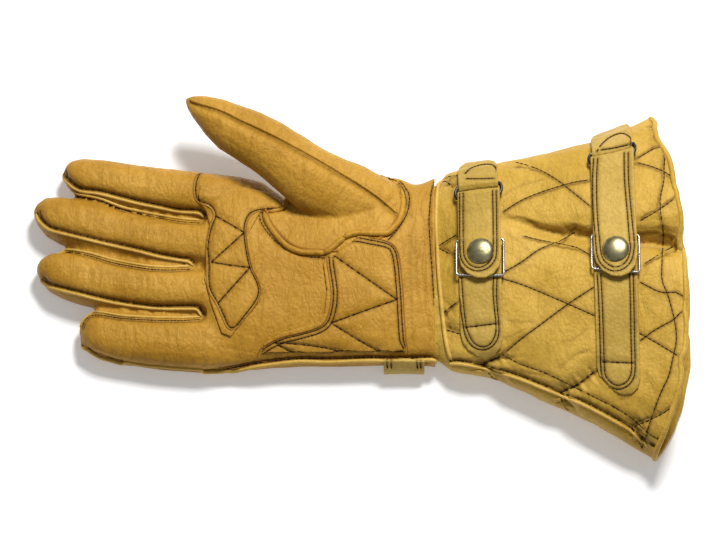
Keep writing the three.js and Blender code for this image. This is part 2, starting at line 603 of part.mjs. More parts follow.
const fastening = ({ name, at, width, ...shares }) => {
  const x = CUFF_X + at * CUFF_LENGTH;
  const [lean, ring, upper, lower, slide, snap] = ["lean", "ring", "upper", "lower", "slide", "snap"].map(
    (column) => shares[column] * CUFF_WIDTH,
  );
  const angleAt = runAlong(onCuff, x, 0, Math.PI);
  const place = (along, run, off) => onCuff(along, angleAt(run), off);
  const middleX = (run) => x + (lean * (run - ring)) / lower;
  const half = width / 2;
  const strapBar = ring + BAR_SPACING / 2;
  const tabBar = ring - BAR_SPACING / 2;
  const slideRun = strapBar + slide;

  const wire = (grow) =>
    wireLoop(
      RING_LENGTH + 2 * grow,
      RING_BREADTH + 2 * grow,
      RING_WIRE + 2 * grow,
      RING_CORNER,
      (along, run, off) => place(middleX(ring) + along, ring + run, RING_OFF + off),
    );
  const frame = (grow) =>
    wireLoop(
      SLIDE_LENGTH + 2 * grow,
      SLIDE_BREADTH + 2 * grow,
      SLIDE_WIRE + 2 * grow,
      SLIDE_CORNER,
      (along, run, off) => place(middleX(slideRun) + along, slideRun + run, SLIDE_OFF + off),
    );

  const lowerEnd = strapBar + lower;
  const upperEnd = strapBar + upper;
  const stepTop = slide - SLIDE_BREADTH / 2 + SLIDE_WIRE / 2;
  const stepFoot = stepTop - RAMP;
  const upperOff = [
    [0, RING_OFF + STRAP_BEND], [SETTLE, LAID_OFF],
    [stepFoot, LAID_OFF], [stepTop, RAISED_OFF], [upper, RAISED_OFF],
  ];
  const strapStations = [
    ...endSteps(half).map((d) => ({ run: lowerEnd - d, off: STRAP_OFF, half: endWidth(half, d) })),
    ...spread(lowerEnd - half, strapBar, Math.round(lower / STATION_STEP)).map((run) => ({
      run,
      off: STRAP_OFF,
      half,
    })),
    ...roundBar(strapBar, RING_OFF, STRAP_BEND, 270, 90, half),
    ...[SETTLE / 2, SETTLE]
      .concat(spread(SETTLE, stepFoot, Math.round(upper / STATION_STEP / 2)))
      .concat([stepFoot, stepTop])
      .map((run) => ({ run: strapBar + run, off: readOff(upperOff, run), half })),
    ...endSteps(half).reverse().map((d) => ({
      run: upperEnd - d,
      off: RAISED_OFF,
      half: endWidth(half, d),
    })),
  ];

  const tabHalf = TAB_WIDTH / 2;
  const tabSteps = [
    [0, RING_OFF + TAB_BEND], [SETTLE, TAB_OVER], [TAB_TUCK + TAB_THICK / 2, TAB_OVER],
    [TAB_TUCK + RAMP, TAB_OFF], [tabBar, TAB_OFF],
  ];
  const overTab = (run) => ({
    run,
    off: readOff(tabSteps, tabBar - run),
    half: endWidth(tabHalf, run - TAB_END),
  });
  const overRuns = [SETTLE / 2, SETTLE, TAB_TUCK + TAB_THICK / 2, TAB_TUCK + RAMP].map((d) => tabBar - d)
    .concat(endSteps(tabHalf).map((d) => TAB_END + d))
    .sort((a, b) => b - a);
  const tabStations = [
    { run: tabBar - TAB_TUCK, off: TAB_OFF, half: TAB_UNDER_WIDTH / 2 },
    { run: tabBar - TAB_TUCK / 2, off: TAB_OFF, half: TAB_UNDER_WIDTH / 2 },
    ...roundBar(tabBar, RING_OFF, TAB_BEND, 270, 450, tabHalf),
    ...overRuns.map(overTab),
  ];

  const seat = (dx, dRun) =>
    place(middleX(strapBar + snap) + dx, strapBar + snap + dRun, RAISED_OFF + STRAP_THICK / 2 + GAP);
  const alongX = seat(1, 0).sub(seat(-1, 0));
  const alongRun = seat(0, -1).sub(seat(0, 1));
  const turn = new THREE.Quaternion().setFromUnitVectors(
    new THREE.Vector3(0, 0, 1),
    alongX.cross(alongRun).normalize(),
  );
  const foot = seat(0, 0);
  const cap = snapCap().applyQuaternion(turn).translate(foot.x, foot.y, foot.z);

  const strap = strip(strapStations, STRAP_THICK, place, middleX).subtract(wire(GAP)).subtract(frame(GAP));
  const tab = strip(tabStations, TAB_THICK, place, middleX).subtract(wire(GAP));
  const group = new THREE.Group();
  group.add(
    piece(`${name}_strap`, strap, strapLeather),
    piece(`${name}_ring_tab`, tab, strapLeather),
    piece(`${name}_ring`, wire(0), gunmetal),
    piece(`${name}_slide`, frame(0), nickel),
    piece(`${name}_snap`, solidOf(cap), brass),
  );
  return group;
};

// Materials
const finish = (color, roughness, metalness) => ({ color, roughness, metalness });
const handLeather = finish(0xc48a35, 0.55, 0);
const cuffLeather = finish(0xcb9c50, 0.55, 0);
const patchLeather = finish(0xc08431, 0.55, 0);
const strapLeather = finish(0xcda45c, 0.5, 0);
const gunmetal = finish(0x3a3a38, 0.4, 1);
const nickel = finish(0xc9c6bd, 0.25, 1);
const brass = finish(0x6f6446, 0.35, 1);

const piece = (name, solid, look) => {
  const mesh = new THREE.Mesh(geometryOf(solid), new THREE.MeshStandardMaterial(look));
  mesh.name = name;
  return mesh;
};

// Hand shell, set-in thumb and the two sewn-on patches
const handOuter = handBody(0, FINGER_ROOT, 0);
const handHollow = handBody(WALL, FINGER_ROOT + 2 * WALL, LAP);
const thumbOpening = thumbLoft(-GAP).add(palmPrism(THUMB_SEAM, SIDE_HEIGHT, GAP));
const thumbBase = handOuter.intersect(palmPrism(THUMB_SEAM, SIDE_HEIGHT + GAP, 0));
const patchBody = handBody(-GAP - PATCH, FINGER_ROOT, 0)
  .subtract(handBody(-GAP, FINGER_ROOT, 0))
  .subtract(thumbOpening);
const patch = (outline) => patchBody.intersect(palmPrism(outline, SIDE_HEIGHT + PATCH, 0));

const hand = new THREE.Group();
hand.add(
  piece("hand_shell", handOuter.subtract(handHollow).subtract(thumbOpening), handLeather),
  piece("thumb", thumbLoft(0).add(thumbBase).subtract(handHollow).subtract(thumbLoft(WALL)), handLeather),
  piece("knuckle_patch", patch(KNUCKLE_PATCH), patchLeather),
  piece("heel_patch", patch(HEEL_PATCH), patchLeather),
);

const loopAngle = runAlong(onHand, LOOP_X, degToRad(LOOP_START), degToRad(LOOP_START + 60));
const loopStations = LOOP_PATH.map(({ at, stand }) => ({
  run: at * LOOP_RUN,
  off: LIFT + LOOP_THICK / 2 + stand * LOOP_STAND,
  half: LOOP_WIDTH / 2,
}));
const loopPlace = (x, run, off) => onHand(x, loopAngle(run), off);
hand.add(piece("side_loop", strip(loopStations, LOOP_THICK, loopPlace, () => LOOP_X), strapLeather));

// Cuff and its two fastenings
const cuff = new THREE.Group();
cuff.add(piece("cuff_shell", cuffLoft(0, 0).subtract(cuffLoft(CUFF_WALL, MOUTH_BOW)), cuffLeather));
FASTENINGS.forEach((set) => cuff.add(fastening(set)));

// The whole glove, with its zero under the middle of its box, on the table
const glove = new THREE.Group();
glove.name = "gauntlet_glove";
glove.add(hand, cuff);
const bounds = new THREE.Box3().setFromObject(glove);
const middle = bounds.getCenter(new THREE.Vector3());
glove.position.set(-middle.x, -middle.y, -bounds.min.z);

export default glove;
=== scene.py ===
"""Looks for a quilted leather gauntlet glove that lies palm up, its two strap fastenings closed."""

import logging
import math
from dataclasses import dataclass, field
from enum import Enum

import bmesh
import bpy
import numpy as np
from mathutils import Matrix, Vector
from mathutils.bvhtree import BVHTree

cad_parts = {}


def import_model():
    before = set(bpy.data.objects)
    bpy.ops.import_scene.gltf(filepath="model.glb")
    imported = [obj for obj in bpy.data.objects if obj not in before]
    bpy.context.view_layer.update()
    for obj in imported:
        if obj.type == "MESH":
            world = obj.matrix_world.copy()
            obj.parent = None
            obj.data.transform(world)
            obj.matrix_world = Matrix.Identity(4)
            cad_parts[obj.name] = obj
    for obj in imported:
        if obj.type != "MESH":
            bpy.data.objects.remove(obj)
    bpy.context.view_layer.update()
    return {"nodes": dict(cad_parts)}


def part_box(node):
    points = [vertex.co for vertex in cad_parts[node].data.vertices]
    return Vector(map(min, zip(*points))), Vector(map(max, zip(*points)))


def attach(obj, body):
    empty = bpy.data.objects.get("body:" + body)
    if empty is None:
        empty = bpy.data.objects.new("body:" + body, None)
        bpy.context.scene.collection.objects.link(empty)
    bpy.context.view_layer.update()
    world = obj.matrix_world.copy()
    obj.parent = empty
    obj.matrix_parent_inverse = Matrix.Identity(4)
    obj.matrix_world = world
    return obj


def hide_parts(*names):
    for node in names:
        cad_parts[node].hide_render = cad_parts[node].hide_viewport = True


logging.basicConfig(level=logging.INFO, format="%(message)s")
LOG = logging.getLogger("gauntlet")

MM = 0.001
WELD = 1e-6  # metres between vertices that count as one
IMAGE_WIDTH = 720
IMAGE_HEIGHT = 540

Pixels = tuple[tuple[float, float], ...]
Colour = tuple[float, float, float]


class Face(Enum):
    """The face of the glove that a line is sewn on, as the side that it is reached from."""

    PALM = 1
    BACK = -1


@dataclass(frozen=True)
class Sewing:
    """How a line shapes the leather and how it is stitched, in millimetres.

    A valley is the soft hollow that the line pulls in, a cut is the sharp crease along it. The last value,
    painted shade, is how much the leather's colour is darkened along the cut and the valley, where their
    shade falls.
    """

    valley: float = 0.0
    valley_width: float = 1.0
    cut: float = 0.0
    cut_width: float = 0.7
    pitch: float = 0.0
    stitch: float = 0.0
    thread: float = 0.3
    # painted shade: how much the line's cut and valley are darkened in colour
    painted_shade: float = 0.6


class Run(Enum):
    """The kinds of line on the glove."""

    SEAM = Sewing(0.8, 2.4, 0.9, 0.8, 1.8, 2.2, 0.34, 1.0)
    SIDE_SEAM = Sewing(0.9, 3.0, 1.0, 0.9, 2.2, 2.7, 0.4, 1.0)
    THUMB_SEAM = Sewing(0.9, 3.0, 0.9, 0.8, painted_shade=0.6)
    QUILT = Sewing(3.0, 5.0, 1.0, 0.9, 2.6, 3.1, 0.38, 1.0)
    TOPSTITCH = Sewing(0.5, 2.2, 0.4, 0.7, 2.5, 2.9, 0.37, 0.9)
    EDGE = Sewing(0.3, 1.6, 0.3, 0.7, 1.9, 2.35, 0.38, 0.95)
    ARC = Sewing(0.4, 1.8, 0.4, 0.7, 2.1, 2.5, 0.36, 0.95)
    HEM = Sewing(1.4, 3.6, 0.6, 0.8, 2.6, 3.1, 0.36, 1.0)
    ZIGZAG = Sewing(0.7, 2.8, 0.4, 0.7, 2.4, 2.9, 0.38, 0.95)
    CREASE = Sewing(0.4, 2.0, 0.3, 0.7, painted_shade=0.4)
    WRINKLE = Sewing(0.16, 1.2, 0.14, 0.6, painted_shade=0.2)
    RING_WRINKLE = Sewing(0.08, 1.6, 0.06, 0.7, painted_shade=0.1)
    FOLD = Sewing(0.8, 2.4, 0.5, 1.2, painted_shade=0.6)
    # A gap only paints shade: a darkened line where the gap's shadow falls, with no hollow and no stitches.
    GAP = Sewing(0.0, 1.0, 0.0, 0.9, painted_shade=0.95)


@dataclass(frozen=True)
class Line:
    """A line on the leather, by its points in the photograph's frame.

    A lip is the raised cut edge beside the line, in pixels to the left of its run.
    """

    run: Run
    points: Pixels
    lip: float = 0.0
    faces: tuple[Face, ...] = (Face.PALM,)

    def beside(self, pixels: float) -> "Line":
        """Return the same line moved to the left of its run by so many pixels."""
        return Line(self.run, shifted(self.points, pixels), 0.0, self.faces)


def shifted(points: Pixels, pixels: float) -> Pixels:
    """Move a run of points sideways.

    Args:
        points: The run.
        pixels: How far to the left of the run's heading, as seen in the picture.

    Returns:
        The moved run.
    """
    run = np.array(points, float)
    heading = np.gradient(run, axis=0)
    heading /= np.linalg.norm(heading, axis=1, keepdims=True) + 1e-9
    left = np.stack([heading[:, 1], -heading[:, 0]], axis=1)
    return tuple(map(tuple, run + left * pixels))


def curve_through(points: Pixels, step: float) -> np.ndarray:
    """Draw a smooth curve through points.

    Args:
        points: The points, in pixels.
        step: The spacing of the curve's samples, in pixels.

    Returns:
        The samples, one row each.
    """
    run = np.array(points, float)
    ends = np.vstack([2 * run[0] - run[1], run, 2 * run[-1] - run[-2]])
    samples = []
    for a, b, c, d in zip(ends, ends[1:], ends[2:], ends[3:]):
        count = max(2, int(np.linalg.norm(c - b) / step) + 1)
        t = np.linspace(0, 1, count, endpoint=False)[:, None]
        samples.append(
            0.5
            * (
                2 * b
                + (c - a) * t
                + (2 * a - 5 * b + 4 * c - d) * t**2
                + (3 * b - a - 3 * c + d) * t**3
            )
        )
    return np.vstack([*samples, run[-1:]])


@dataclass(frozen=True)
class PhotoView:
    """The camera: a long lens that looks down on the palm at the photograph's angle."""

    elevation: float = 72.0
    distance: float = 4.0
    pixel: float = 0.53 * MM
    target: tuple[float, float, float] = (-0.26 * MM, 5.97 * MM, 18.0 * MM)
    sensor: float = 36.0
    reach: float = 10 * MM
    window: int = 9
    jump: float = 1.5 * MM
    miss: float = 3 * MM

    @property
    def back(self) -> Vector:
        """Return the direction from the glove to the camera."""
        angle = math.radians(self.elevation)
        return Vector((0, -math.cos(angle), math.sin(angle)))

    @property
    def up(self) -> Vector:
        """Return the picture's upward direction."""
        angle = math.radians(self.elevation)
        return Vector((0, math.sin(angle), math.cos(angle)))

    @property
    def eye(self) -> Vector:
        """Return where the camera stands."""
        return Vector(self.target) + self.back * self.distance

    def point(self, px: float, py: float) -> Vector:
        """Return the point of the picture's plane at a pixel."""
        right = Vector((1, 0, 0)) * (px - IMAGE_WIDTH / 2) * self.pixel
        return Vector(self.target) + right + self.up * (IMAGE_HEIGHT / 2 - py) * self.pixel

    def land(
        self, tree: BVHTree, samples: np.ndarray, face: Face = Face.PALM, aside: float = 0.0
    ) -> tuple[np.ndarray, np.ndarray]:
        """Lay samples of the picture on a surface.

        Args:
            tree: The surface.
            samples: The pixels.
            face: The face of the glove to land on.
            aside: How far to the left of each sample the surface is read, in pixels, where the sample
                itself lies over a gap.

        Returns:
            The points on the surface and the surface's normals there.
        """
        rays, depths, slides = [], [], []
        seats = shifted(samples, aside) if aside else samples
        for (px, py), sample in zip(seats, samples):
            aim = self.point(px, py)
            heading = (aim - self.eye).normalized() * face.value
            start = aim - heading * 0.3
            place, _, _, depth = tree.ray_cast(start, heading)
            if place is None:
                mark = aim + heading * ((self.reach - aim.z) / heading.z)
                place, _, _, _ = tree.find_nearest(mark)
                depth = (place - start).dot(heading)
                if (start + heading * depth - place).length > self.miss:
                    continue
            rays.append((start, heading))
            depths.append(depth)
            slides.append(self.point(*sample) - aim)
        places, normals = [], []
        for k, ((start, heading), depth) in enumerate(zip(rays, depths)):
            usual = float(np.median(depths[max(0, k - self.window) : k + self.window + 1]))
            if abs(depth - usual) > self.jump:
                depth = usual
            place, normal, _, _ = tree.find_nearest(start + heading * depth)
            places.append(place)
            normals.append(normal)
        blend = np.ones(self.window) / self.window
        normals = np.pad(np.array(normals), ((self.window // 2,) * 2, (0, 0)), mode="edge")
        normals = np.stack([np.convolve(normals[:, a], blend, mode="valid") for a in range(3)], axis=1)
        return np.array(places) + slides, normals / np.linalg.norm(normals, axis=1, keepdims=True)

    def camera(self) -> None:
        """Make the camera and give it to the scene."""
        data = bpy.data.cameras.new("camera")
        data.sensor_width = self.sensor
        data.lens = self.sensor * self.distance / (IMAGE_WIDTH * self.pixel)
        data.clip_start, data.clip_end = 0.1, 50.0
        camera = bpy.data.objects.new("camera", data)
        camera.location = self.eye
        camera.rotation_mode = "QUATERNION"
        camera.rotation_quaternion = (-self.back).to_track_quat("-Z", "Y")
        bpy.context.collection.objects.link(camera)
        bpy.context.scene.camera = camera


VIEW = PhotoView()


def smoothed(places: np.ndarray, edges: np.ndarray, rounds: int) -> np.ndarray:
    """Take the facets out of a closed skin and keep its size.

    Args:
        places: The vertices.
        edges: The pairs of vertices that are joined.
        rounds: How many times the skin is drawn in and let out again.

    Returns:
        The moved vertices.
    """
    count = len(places)
    ends = np.concatenate([edges[:, 0], edges[:, 1]])
    others = np.concatenate([edges[:, 1], edges[:, 0]])
    valence = np.maximum(np.bincount(ends, minlength=count), 1)
    draw_in, let_out = 0.55, -0.58
    for _ in range(rounds):
        for share in (draw_in, let_out):
            mean = np.stack(
                [np.bincount(ends, places[others, k], minlength=count) for k in range(3)], axis=1
            )
            places = places + share * (mean / valence[:, None] - places)
    return places


class Skin:
    """A piece of leather or metal made from its solid: remeshed finely, rounded and carved, with painted
    shade along its carved lines.
    """

    line_step: float = 1.4  # pixels between a carved line's samples
    reach: float = 2.2  # how far a line pulls, in its widths
    batch: int = 4000  # vertices measured at a time
    pucker_depth: float = 0.28
    pucker_waves: tuple[float, float] = (0.72, 2.9)
    # How much a line's cut and valley darken the colour: painted shade.
    painted_cut_shade: float = 0.85
    painted_valley_shade: float = 0.13
    roll_angles: tuple[float, ...] = (0.3, 1.25, 2.2, 2.9)
    full_turn: float = 6.283
    clear: float = 0.2  # metres above and below the glove
    seat_gap: float = 0.15  # millimetres left under a draped piece
    drape_rounds: int = 120
    drape_soft: int = 25

    def __init__(
        self,
        nodes: dict[str, bpy.types.Object],
        node: str,
        voxel: float,
        rounds: int,
        closing: float = 0.0,
    ) -> None:
        """Make the fine mesh.

        Args:
            nodes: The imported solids.
            node: The solid that this piece stands for.
            voxel: The mesh's spacing, in millimetres.
            rounds: How many times it is smoothed.
            closing: Half the width of the slits that touching leather closes, in millimetres.
        """
        self.node = node
        bm = bmesh.new()
        bm.from_mesh(nodes[node].data)
        bmesh.ops.remove_doubles(bm, verts=bm.verts, dist=WELD)
        coarse = bpy.data.meshes.new(node + "_coarse")
        bm.to_mesh(coarse)
        bm.free()
        self.piece = bpy.data.objects.new(node + "_dressed", coarse)
        bpy.context.collection.objects.link(self.piece)
        self._remesh("remesh", voxel)
        if closing:
            for label, strength in (("swell", closing), ("shrink", -closing)):
                press = self.piece.modifiers.new(label, "DISPLACE")
                press.strength = strength * MM
                press.mid_level = 0.0
                if strength > 0:
                    self._remesh("close", voxel)
        shown = self.piece.evaluated_get(bpy.context.evaluated_depsgraph_get())
        fine = bpy.data.meshes.new_from_object(shown)
        self.piece.modifiers.clear()
        self.piece.data = fine
        bpy.data.meshes.remove(coarse)
        fine.name = node + "_dressed"
        self.places = np.empty(len(fine.vertices) * 3)
        fine.vertices.foreach_get("co", self.places)
        self.places = self.places.reshape(-1, 3)
        edges = np.empty(len(fine.edges) * 2, np.int32)
        fine.edges.foreach_get("vertices", edges)
        self.edges = edges.reshape(-1, 2)
        self.places = smoothed(self.places, self.edges, rounds)
        # The painted shade of the carved lines, one value a vertex.
        self.crease = np.zeros(len(self.places))
        self.store()

    def _remesh(self, label: str, voxel: float) -> None:
        """Add a remesh of a spacing in millimetres to the piece."""
        remesh = self.piece.modifiers.new(label, "REMESH")
        remesh.mode = "VOXEL"
        remesh.voxel_size = voxel * MM

    def store(self) -> None:
        """Write the vertices back to the mesh."""
        self.piece.data.vertices.foreach_set("co", self.places.ravel())
        self.piece.data.update()

    def tree(self) -> BVHTree:
        """Return the mesh as a surface to land on."""
        mesh = self.piece.data
        return BVHTree.FromPolygons([v.co for v in mesh.vertices], [p.vertices for p in mesh.polygons])

    def drape(self, under: BVHTree, ends: tuple[float, float] | None = None) -> None:
        """Let the piece down onto the leather under it.

        Args:
            under: The leather.
            ends: Where along Y the piece starts to sink and where it lies flat, in millimetres. A piece
                without them lies flat all over.
        """
        own = self.tree()
        drops = np.full(len(self.places), np.nan)
        for k, (x, y, _) in enumerate(self.places):
            bottom = own.ray_cast(Vector((x, y, -self.clear)), Vector((0, 0, 1)))[0]
            top = under.ray_cast(Vector((x, y, self.clear)), Vector((0, 0, -1)))[0]
            if bottom is not None and top is not None:
                drops[k] = max(0.0, bottom.z - top.z - self.seat_gap * MM)
        unknown = np.isnan(drops)
        drops[unknown] = np.nanmean(drops)
        ends_of = np.concatenate([self.edges[:, 0], self.edges[:, 1]])
        others = np.concatenate([self.edges[:, 1], self.edges[:, 0]])
        valence = np.maximum(np.bincount(ends_of, minlength=len(drops)), 1)
        for k in range(self.drape_rounds):
            mean = np.bincount(ends_of, drops[others], minlength=len(drops)) / valence
            soft = unknown if k < self.drape_rounds - self.drape_soft else slice(None)
            drops[soft] = mean[soft]
        if ends:
            start, flat = ends
            share = np.clip((self.places[:, 1] / MM - start) / (flat - start), 0, 1)
            drops *= share * share * (3 - 2 * share)
        self.places[:, 2] -= drops
        self.store()

    def carve(self, lines: list[Line]) -> None:
        """Pull the leather in along lines, and paint shade into the colour along them.

        Args:
            lines: The lines on this piece.
        """
        tree = self.tree()
        moved = np.zeros_like(self.places)
        for line in lines:
            samples = curve_through(line.points, self.line_step)
            for face in line.faces:
                self._pull(moved, line.run.value, *VIEW.land(tree, samples, face))
        self.places = self.places + moved
        self.store()

    def _pull(self, moved: np.ndarray, sewing: Sewing, path: np.ndarray, normals: np.ndarray) -> None:
        """Add one line's pull, and the painted shade that darkens the colour along its cut and valley.

        Args:
            moved: The move of each vertex so far, which is added to.
            sewing: The line's kind.
            path: Points along the line.
            normals: The leather's normals there.
        """
        reach = self.reach * max(sewing.valley_width, sewing.cut_width) * MM
        low, high = path.min(0) - reach, path.max(0) + reach
        run = np.concatenate([[0], np.cumsum(np.linalg.norm(np.diff(path, axis=0), axis=1))]) / MM
        near = np.flatnonzero(((self.places > low) & (self.places < high)).all(1))
        for part in np.array_split(near, max(1, len(near) // self.batch)):
            gaps = np.linalg.norm(self.places[part, None, :] - path[None, :, :], axis=2)
            best = gaps.argmin(1)
            gap = gaps[np.arange(len(part)), best] / MM
            valley = np.exp(-((gap / sewing.valley_width) ** 2))
            cut = np.exp(-((gap / sewing.cut_width) ** 2))
            short, long = self.pucker_waves
            gather_up = np.sin(run[best] / short) * np.sin(run[best] / long + path[0, 0] * 900)
            pucker = 1 + bool(sewing.pitch) * self.pucker_depth * gather_up
            depth = (sewing.valley * valley * pucker + sewing.cut * cut) * MM
            old = np.einsum("ij,ij->i", moved[part], normals[best])
            extra = np.minimum(old, -depth) - old
            moved[part] += extra[:, None] * normals[best]
            # Painted shade: the colour is darkened along the line's cut and valley, where the hollow's shade
            # falls.
            shade = cut * self.painted_cut_shade + valley * self.painted_valley_shade
            self.crease[part] = np.maximum(self.crease[part], sewing.painted_shade * shade)

    def roll(self, wave: float, height: float, seed: float, sleeve: bool = False) -> None:
        """Sink the leather here and there, so that no stretch of it is dead even.

        Args:
            wave: The length of the unevenness, in millimetres.
            height: Its depth, in millimetres.
            seed: What sets one piece apart from another.
            sleeve: Whether the piece is a sleeve along X, whose inner wall sinks with its outer one.
        """
        total = np.zeros(len(self.places))
        for k, angle in enumerate(self.roll_angles):
            along = np.array([math.cos(angle), math.sin(angle), 0.6]) / (wave * MM * (1 + 0.23 * k))
            warp = np.sin(self.places @ np.roll(along, 1) * 2.1 + seed * (k + 1))
            total += np.sin(self.places @ along * self.full_turn + 1.7 * warp + seed * 3.1 * k)
        sink = (0.5 - total / 8) * height * MM
        normals = self.normals()
        if sleeve:
            outward = self.places - self.places.mean(0)
            outward[:, 0] = 0
            facing = np.einsum("ij,ij->i", normals, outward) / np.linalg.norm(outward, axis=1)
            sink = sink * np.clip(3 * facing, -1, 1)
        self.places = self.places - normals * sink[:, None]
        self.store()

    def normals(self) -> np.ndarray:
        """Return the vertices' normals."""
        normals = np.empty(len(self.places) * 3, np.float32)
        self.piece.data.vertex_normals.foreach_get("vector", normals)
        return normals.reshape(-1, 3)

    def dress(self, material: bpy.types.Material, slot: str) -> bpy.types.Object:
        """Finish the piece.

        Args:
            material: Its finish.
            slot: Not used.

        Returns:
            The finished object.
        """
        mesh = self.piece.data
        mesh.materials.clear()
        mesh.materials.append(material)
        # The carved lines' painted shade, read by the leather's colour.
        layer = mesh.attributes.new("crease", "FLOAT", "POINT")
        layer.data.foreach_set("value", self.crease.astype(np.float32))
        mesh.shade_smooth()
        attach(self.piece, "root")
        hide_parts(self.node)
        LOG.info("%s: %d faces", self.piece.name, len(mesh.polygons))
        return self.piece


def joined(skins: list[Skin]) -> BVHTree:
    """Join dressed pieces into one surface to land on.

    Args:
        skins: The pieces.

    Returns:
        The surface.
    """
    places: list[Vector] = []
    faces: list[list[int]] = []
    for skin in skins:
        mesh = skin.piece.data
        faces += [[v + len(places) for v in polygon.vertices] for polygon in mesh.polygons]
        places += [v.co for v in mesh.vertices]
    return BVHTree.FromPolygons(places, faces)


def gather(part: bmesh.types.BMesh, whole: bmesh.types.BMesh) -> None:
    """Add a small shape to a larger one.

    Args:
        part: The small shape.
        whole: The shape that it joins.
    """
    mesh = bpy.data.meshes.new("part")
    part.to_mesh(mesh)
    whole.from_mesh(mesh)
    bpy.data.meshes.remove(mesh)


class Thread:
    """The stitches of one sub-assembly, laid one by one on the leather."""

    sides = 6
    bands = 4
    leap = 4.0

    def __init__(self, name: str) -> None:
        """Start with no stitches."""
        self.name = name
        self.bm = bmesh.new()
        self.count = 0

    def sew(self, tree: BVHTree, line: Line) -> None:
        """Sew a line.

        Args:
            tree: The leather.
            line: Where the stitches run.
        """
        sewing = line.run.value
        if not sewing.pitch:
            return
        for face in line.faces:
            path, normals = VIEW.land(tree, curve_through(line.points, 0.9), face)
            self._run(path, normals, sewing)

    def _run(self, path: np.ndarray, normals: np.ndarray, sewing: Sewing) -> None:
        """Lay stitches along a path.

        Args:
            path: Points on the leather.
            normals: The leather's normals there.
            sewing: The stitch.
        """
        steps = np.linalg.norm(np.diff(path, axis=0), axis=1)
        run = np.concatenate([[0], np.cumsum(steps)]) / MM
        leap = steps > self.leap * np.median(steps)
        count = max(1, round(run[-1] / sewing.pitch))
        stitch = bmesh.new()
        for k in range(count):
            middle = (k + 0.5) * run[-1] / count
            if leap[np.searchsorted(run, middle) - 1]:
                continue
            ends = [
                np.array([np.interp(middle + share * sewing.stitch, run, path[:, a]) for a in range(3)])
                for share in (-0.5, 0.5)
            ]
            up = Vector([np.interp(middle, run, normals[:, a]) for a in range(3)]).normalized()
            along = Vector(ends[1] - ends[0])
            if along.length < 0.3 * sewing.stitch * MM:
                continue
            across = up.cross(along).normalized()
            lift = along.normalized().cross(across)
            middle_point = Vector((ends[0] + ends[1]) / 2) - up * 0.05 * MM
            size = Matrix.Diagonal(
                (0.5 * sewing.stitch * MM, sewing.thread * MM, 0.75 * sewing.thread * MM, 1)
            )
            turn = Matrix((along.normalized(), across, lift)).transposed().to_4x4()
            stitch.clear()
            bmesh.ops.create_uvsphere(
                stitch,
                u_segments=self.sides,
                v_segments=self.bands,
                radius=1,
                matrix=Matrix.Translation(middle_point) @ turn @ size,
            )
            gather(stitch, self.bm)
            self.count += 1
        stitch.free()

    def dress(self, material: bpy.types.Material) -> bpy.types.Object:
        """Return the stitches as one finished piece."""
        return finished(self.bm, self.name, material)


def finished(
    bm: bmesh.types.BMesh, name: str, material: bpy.types.Material
) -> bpy.types.Object:
    """Turn a bmesh into a finished piece.

    Args:
        bm: The shape, which is freed.
        name: The piece's name.
        material: Its finish.

    Returns:
        The piece.
    """
    mesh = bpy.data.meshes.new(name)
    bm.to_mesh(mesh)
    bm.free()
    mesh.materials.append(material)
    mesh.shade_smooth()
    piece = bpy.data.objects.new(name, mesh)
    bpy.context.collection.objects.link(piece)
    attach(piece, "root")
    LOG.info("%s: %d faces", name, len(mesh.polygons))
    return piece


class Welt:
    """Raised cut edges of leather, as thin rolls along lines."""

    sides: int = 8
    line_step: float = 1.5  # pixels between a line's samples
    tip: float = 0.35  # the radius at a roll's ends, as a share
    tip_step: float = 0.3  # how much of the radius each next ring regains

    def __init__(self, name: str) -> None:
        """Start with no edges."""
        self.name = name
        self.bm = bmesh.new()

    def lay(
        self, tree: BVHTree, line: Line, radius: float, sink: float = 0.35, aside: float = 0.0
    ) -> None:
        """Lay one roll.

        Args:
            tree: The leather under it.
            line: Where it runs.
            radius: Its radius, in millimetres.
            sink: The share of the radius that lies under the leather.
            aside: How far to the left of the line the leather is read, in pixels.
        """
        path, normals = VIEW.land(tree, curve_through(line.points, self.line_step), aside=aside)
        path = path + normals * radius * (1 - 2 * sink) * MM
        self.sweep(even(path), radius * MM)

    def sweep(self, path: np.ndarray, radius: float, closed: bool = False) -> None:
        """Sweep a round section along a path.

        Args:
            path: The points.
            radius: The section's radius, in metres.
            closed: Whether the path runs back into its start.
        """
        headings = np.gradient(path, axis=0)
        rings = []
        roll = bmesh.new()
        for k, (point, heading) in enumerate(zip(path, headings)):
            from_end = min(k, len(path) - 1 - k)
            taper = 1.0 if closed else min(1.0, self.tip + self.tip_step * from_end)
            turn = Vector(heading).to_track_quat("Z", "Y").to_matrix().to_4x4()
            made = bmesh.ops.create_circle(
                roll,
                cap_ends=k in (0, len(path) - 1),
                segments=self.sides,
                radius=radius * taper,
                matrix=Matrix.Translation(point) @ turn,
            )
            verts = made["verts"]
            rings.append([e for e in {e for v in verts for e in v.link_edges} if set(e.verts) <= set(verts)])
        for first, second in zip(rings, rings[1:]):
            bmesh.ops.bridge_loops(roll, edges=first + second)
        bmesh.ops.recalc_face_normals(roll, faces=roll.faces)
        gather(roll, self.bm)
        roll.free()

    def dress(self, material: bpy.types.Material, slot: str) -> bpy.types.Object:
        """Return the edges as one finished piece."""
        return finished(self.bm, self.name, material)


def even(path: np.ndarray, spacing: float = 1.0 * MM) -> np.ndarray:
    """Space a path's points evenly and soften its small jumps.

    Args:
        path: The points.
        spacing: The distance between the new points.

    Returns:
        The new points.
    """
    run = np.concatenate([[0], np.cumsum(np.linalg.norm(np.diff(path, axis=0), axis=1))])
    count = max(4, int(run[-1] / spacing))
    marks = np.linspace(0, run[-1], count)
    path = np.stack([np.interp(marks, run, path[:, a]) for a in range(3)], axis=1)
    for _ in range(3):
        path[1:-1] = (path[:-2] + 2 * path[1:-1] + path[2:]) / 4
    return path


